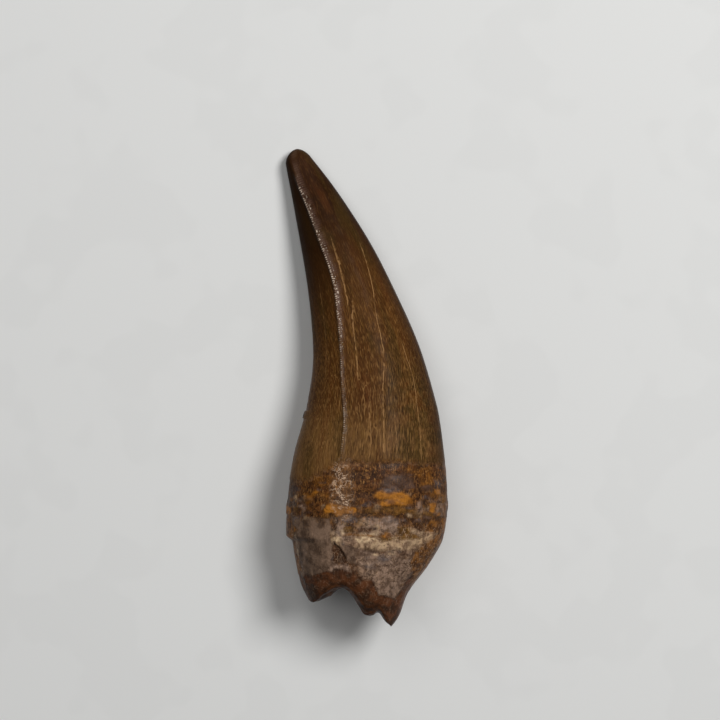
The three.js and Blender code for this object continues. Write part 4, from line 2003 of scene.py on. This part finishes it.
@dataclass(frozen=True)
class Studio:
    """The plain floor, soft lights, dim room and camera, in metres."""

    rest: Rest = Rest()
    floor_size: float = 12.0
    floor_tone: Display = (224, 224, 222)
    floor_speck_tone: Display = (170, 170, 168)
    floor_speck_scale: float = 40.0
    floor_speck_level: float = 0.5
    floor_speck_amount: float = 0.04
    floor_roughness: float = 0.9
    floor_specular: float = 0.2
    room_colour: tuple[float, ...] = (0.95, 0.97, 1.0, 1.0)
    room_strength: float = 0.08
    aim: tuple[float, float] = (-1.75, 66.25)  # middle of the view, in the tooth's x and y, millimetres
    view_width: float = 0.180
    camera_distance: float = 1.2
    camera_clip: tuple[float, float] = (0.05, 50.0)
    sensor: float = 36.0
    lights: tuple[SoftLight, ...] = (
        SoftLight("key", 10.2, 0.45, 1.15, 26.0, 16.0),
        SoftLight("fill", 4.6, 1.0, 1.3, -16.0, 14.0),
    )

    def sight(self, shift: np.ndarray) -> tuple[Vector, Matrix]:
        """Where the camera looks.

        Args:
            shift: Shift from the turned tooth's frame to the row's, in millimetres.

        Returns:
            The point, in metres, and the turn from the tooth's frame to the row's.
        """
        turn = self.rest.turn()
        aim = turn @ Vector((*self.aim, 0.0)) + Vector(shift)
        return aim * METRES, turn

    def build_floor(self, effects: Effects) -> None:
        """A pale sheet under the tooth, very slightly mottled.

        Args:
            effects: The shared groups.
        """
        half = self.floor_size / 2
        mesh = bpy.data.meshes.new("floor")
        mesh.from_pydata(
            [(-half, -half, 0), (half, -half, 0), (half, half, 0), (-half, half, 0)], [], [(0, 1, 2, 3)]
        )
        floor = bpy.data.objects.new("floor", mesh)
        bpy.context.scene.collection.objects.link(floor)
        made = bpy.data.materials.new("pale_floor")
        made.use_nodes = True
        sheet = Sheet(made.node_tree)
        marks = sheet.place(
            effects.specks, Place=sheet.node("ShaderNodeTexCoord").outputs["Object"],
            Scale=self.floor_speck_scale, Threshold=self.floor_speck_level,
        )
        mottled = sheet.times(marks.outputs["Mask"], self.floor_speck_amount)
        shader = made.node_tree.nodes["Principled BSDF"]
        colour = sheet.mix(mottled, tone(self.floor_tone), tone(self.floor_speck_tone))
        sheet.feed(shader.inputs["Base Color"], colour)
        shader.inputs["Roughness"].default_value = self.floor_roughness
        shader.inputs["Specular IOR Level"].default_value = self.floor_specular
        floor.data.materials.append(made)

    def build_lights(self, shift: np.ndarray) -> None:
        """The soft lights round the line of sight.

        Args:
            shift: Shift from the turned tooth's frame to the row's, in millimetres.
        """
        aim, turn = self.sight(shift)
        for light in self.lights:
            right, top = math.radians(light.to_right), math.radians(light.to_top)
            toward = Vector((math.sin(right) * math.cos(top), math.sin(top), math.cos(right) * math.cos(top)))
            toward = turn @ toward
            data = bpy.data.lights.new(light.name, "AREA")
            data.shape = "DISK"
            data.size = light.across
            data.energy = light.power
            lamp = bpy.data.objects.new(light.name, data)
            lamp.location = aim + toward * light.distance
            lamp.rotation_euler = toward.to_track_quat("Z", "Y").to_euler()
            lamp.visible_camera = False
            bpy.context.scene.collection.objects.link(lamp)

    def build_room(self) -> None:
        """An even, dim, pale room."""
        world = bpy.data.worlds.new("room")
        world.use_nodes = True
        background = world.node_tree.nodes["Background"]
        background.inputs["Color"].default_value = self.room_colour
        background.inputs["Strength"].default_value = self.room_strength
        bpy.context.scene.world = world

    def build_camera(self, shift: np.ndarray) -> None:
        """A long lens square to the tooth's own plane.

        Args:
            shift: Shift from the turned tooth's frame to the row's, in millimetres.
        """
        aim, turn = self.sight(shift)
        data = bpy.data.cameras.new("camera")
        data.sensor_width = self.sensor
        data.lens = self.sensor * self.camera_distance / self.view_width
        data.clip_start, data.clip_end = self.camera_clip
        camera = bpy.data.objects.new("camera", data)
        place = Matrix.Translation(aim + turn @ Vector((0, 0, self.camera_distance)))
        camera.matrix_world = place @ turn.to_4x4()
        bpy.context.scene.collection.objects.link(camera)
        bpy.context.scene.camera = camera
        bpy.context.scene.view_settings.view_transform = "Standard"

    def build(self, shift: np.ndarray, effects: Effects) -> None:
        """Everything round the tooth.

        Args:
            shift: Shift from the turned tooth's frame to the row's, in millimetres.
            effects: The shared groups.
        """
        self.build_floor(effects)
        self.build_lights(shift)
        self.build_room()
        self.build_camera(shift)


def main() -> None:
    """Build the tooth and its studio."""
    logging.basicConfig(level=logging.INFO, format="%(name)s: %(message)s")
    effects = Effects.make()
    tooth, shift = ToothMesh().build()
    tooth.data.materials.append(ToothFinish().material(effects))
    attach(tooth, "root")
    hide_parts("tooth")
    LOG.info("%s: %d points, %d faces", tooth.name, len(tooth.data.vertices), len(tooth.data.polygons))
    studio = Studio()
    studio.build(shift, effects)
    LOG.info("studio: floor, %d lights, camera", len(studio.lights))


if __name__ == "__main__":
    main()
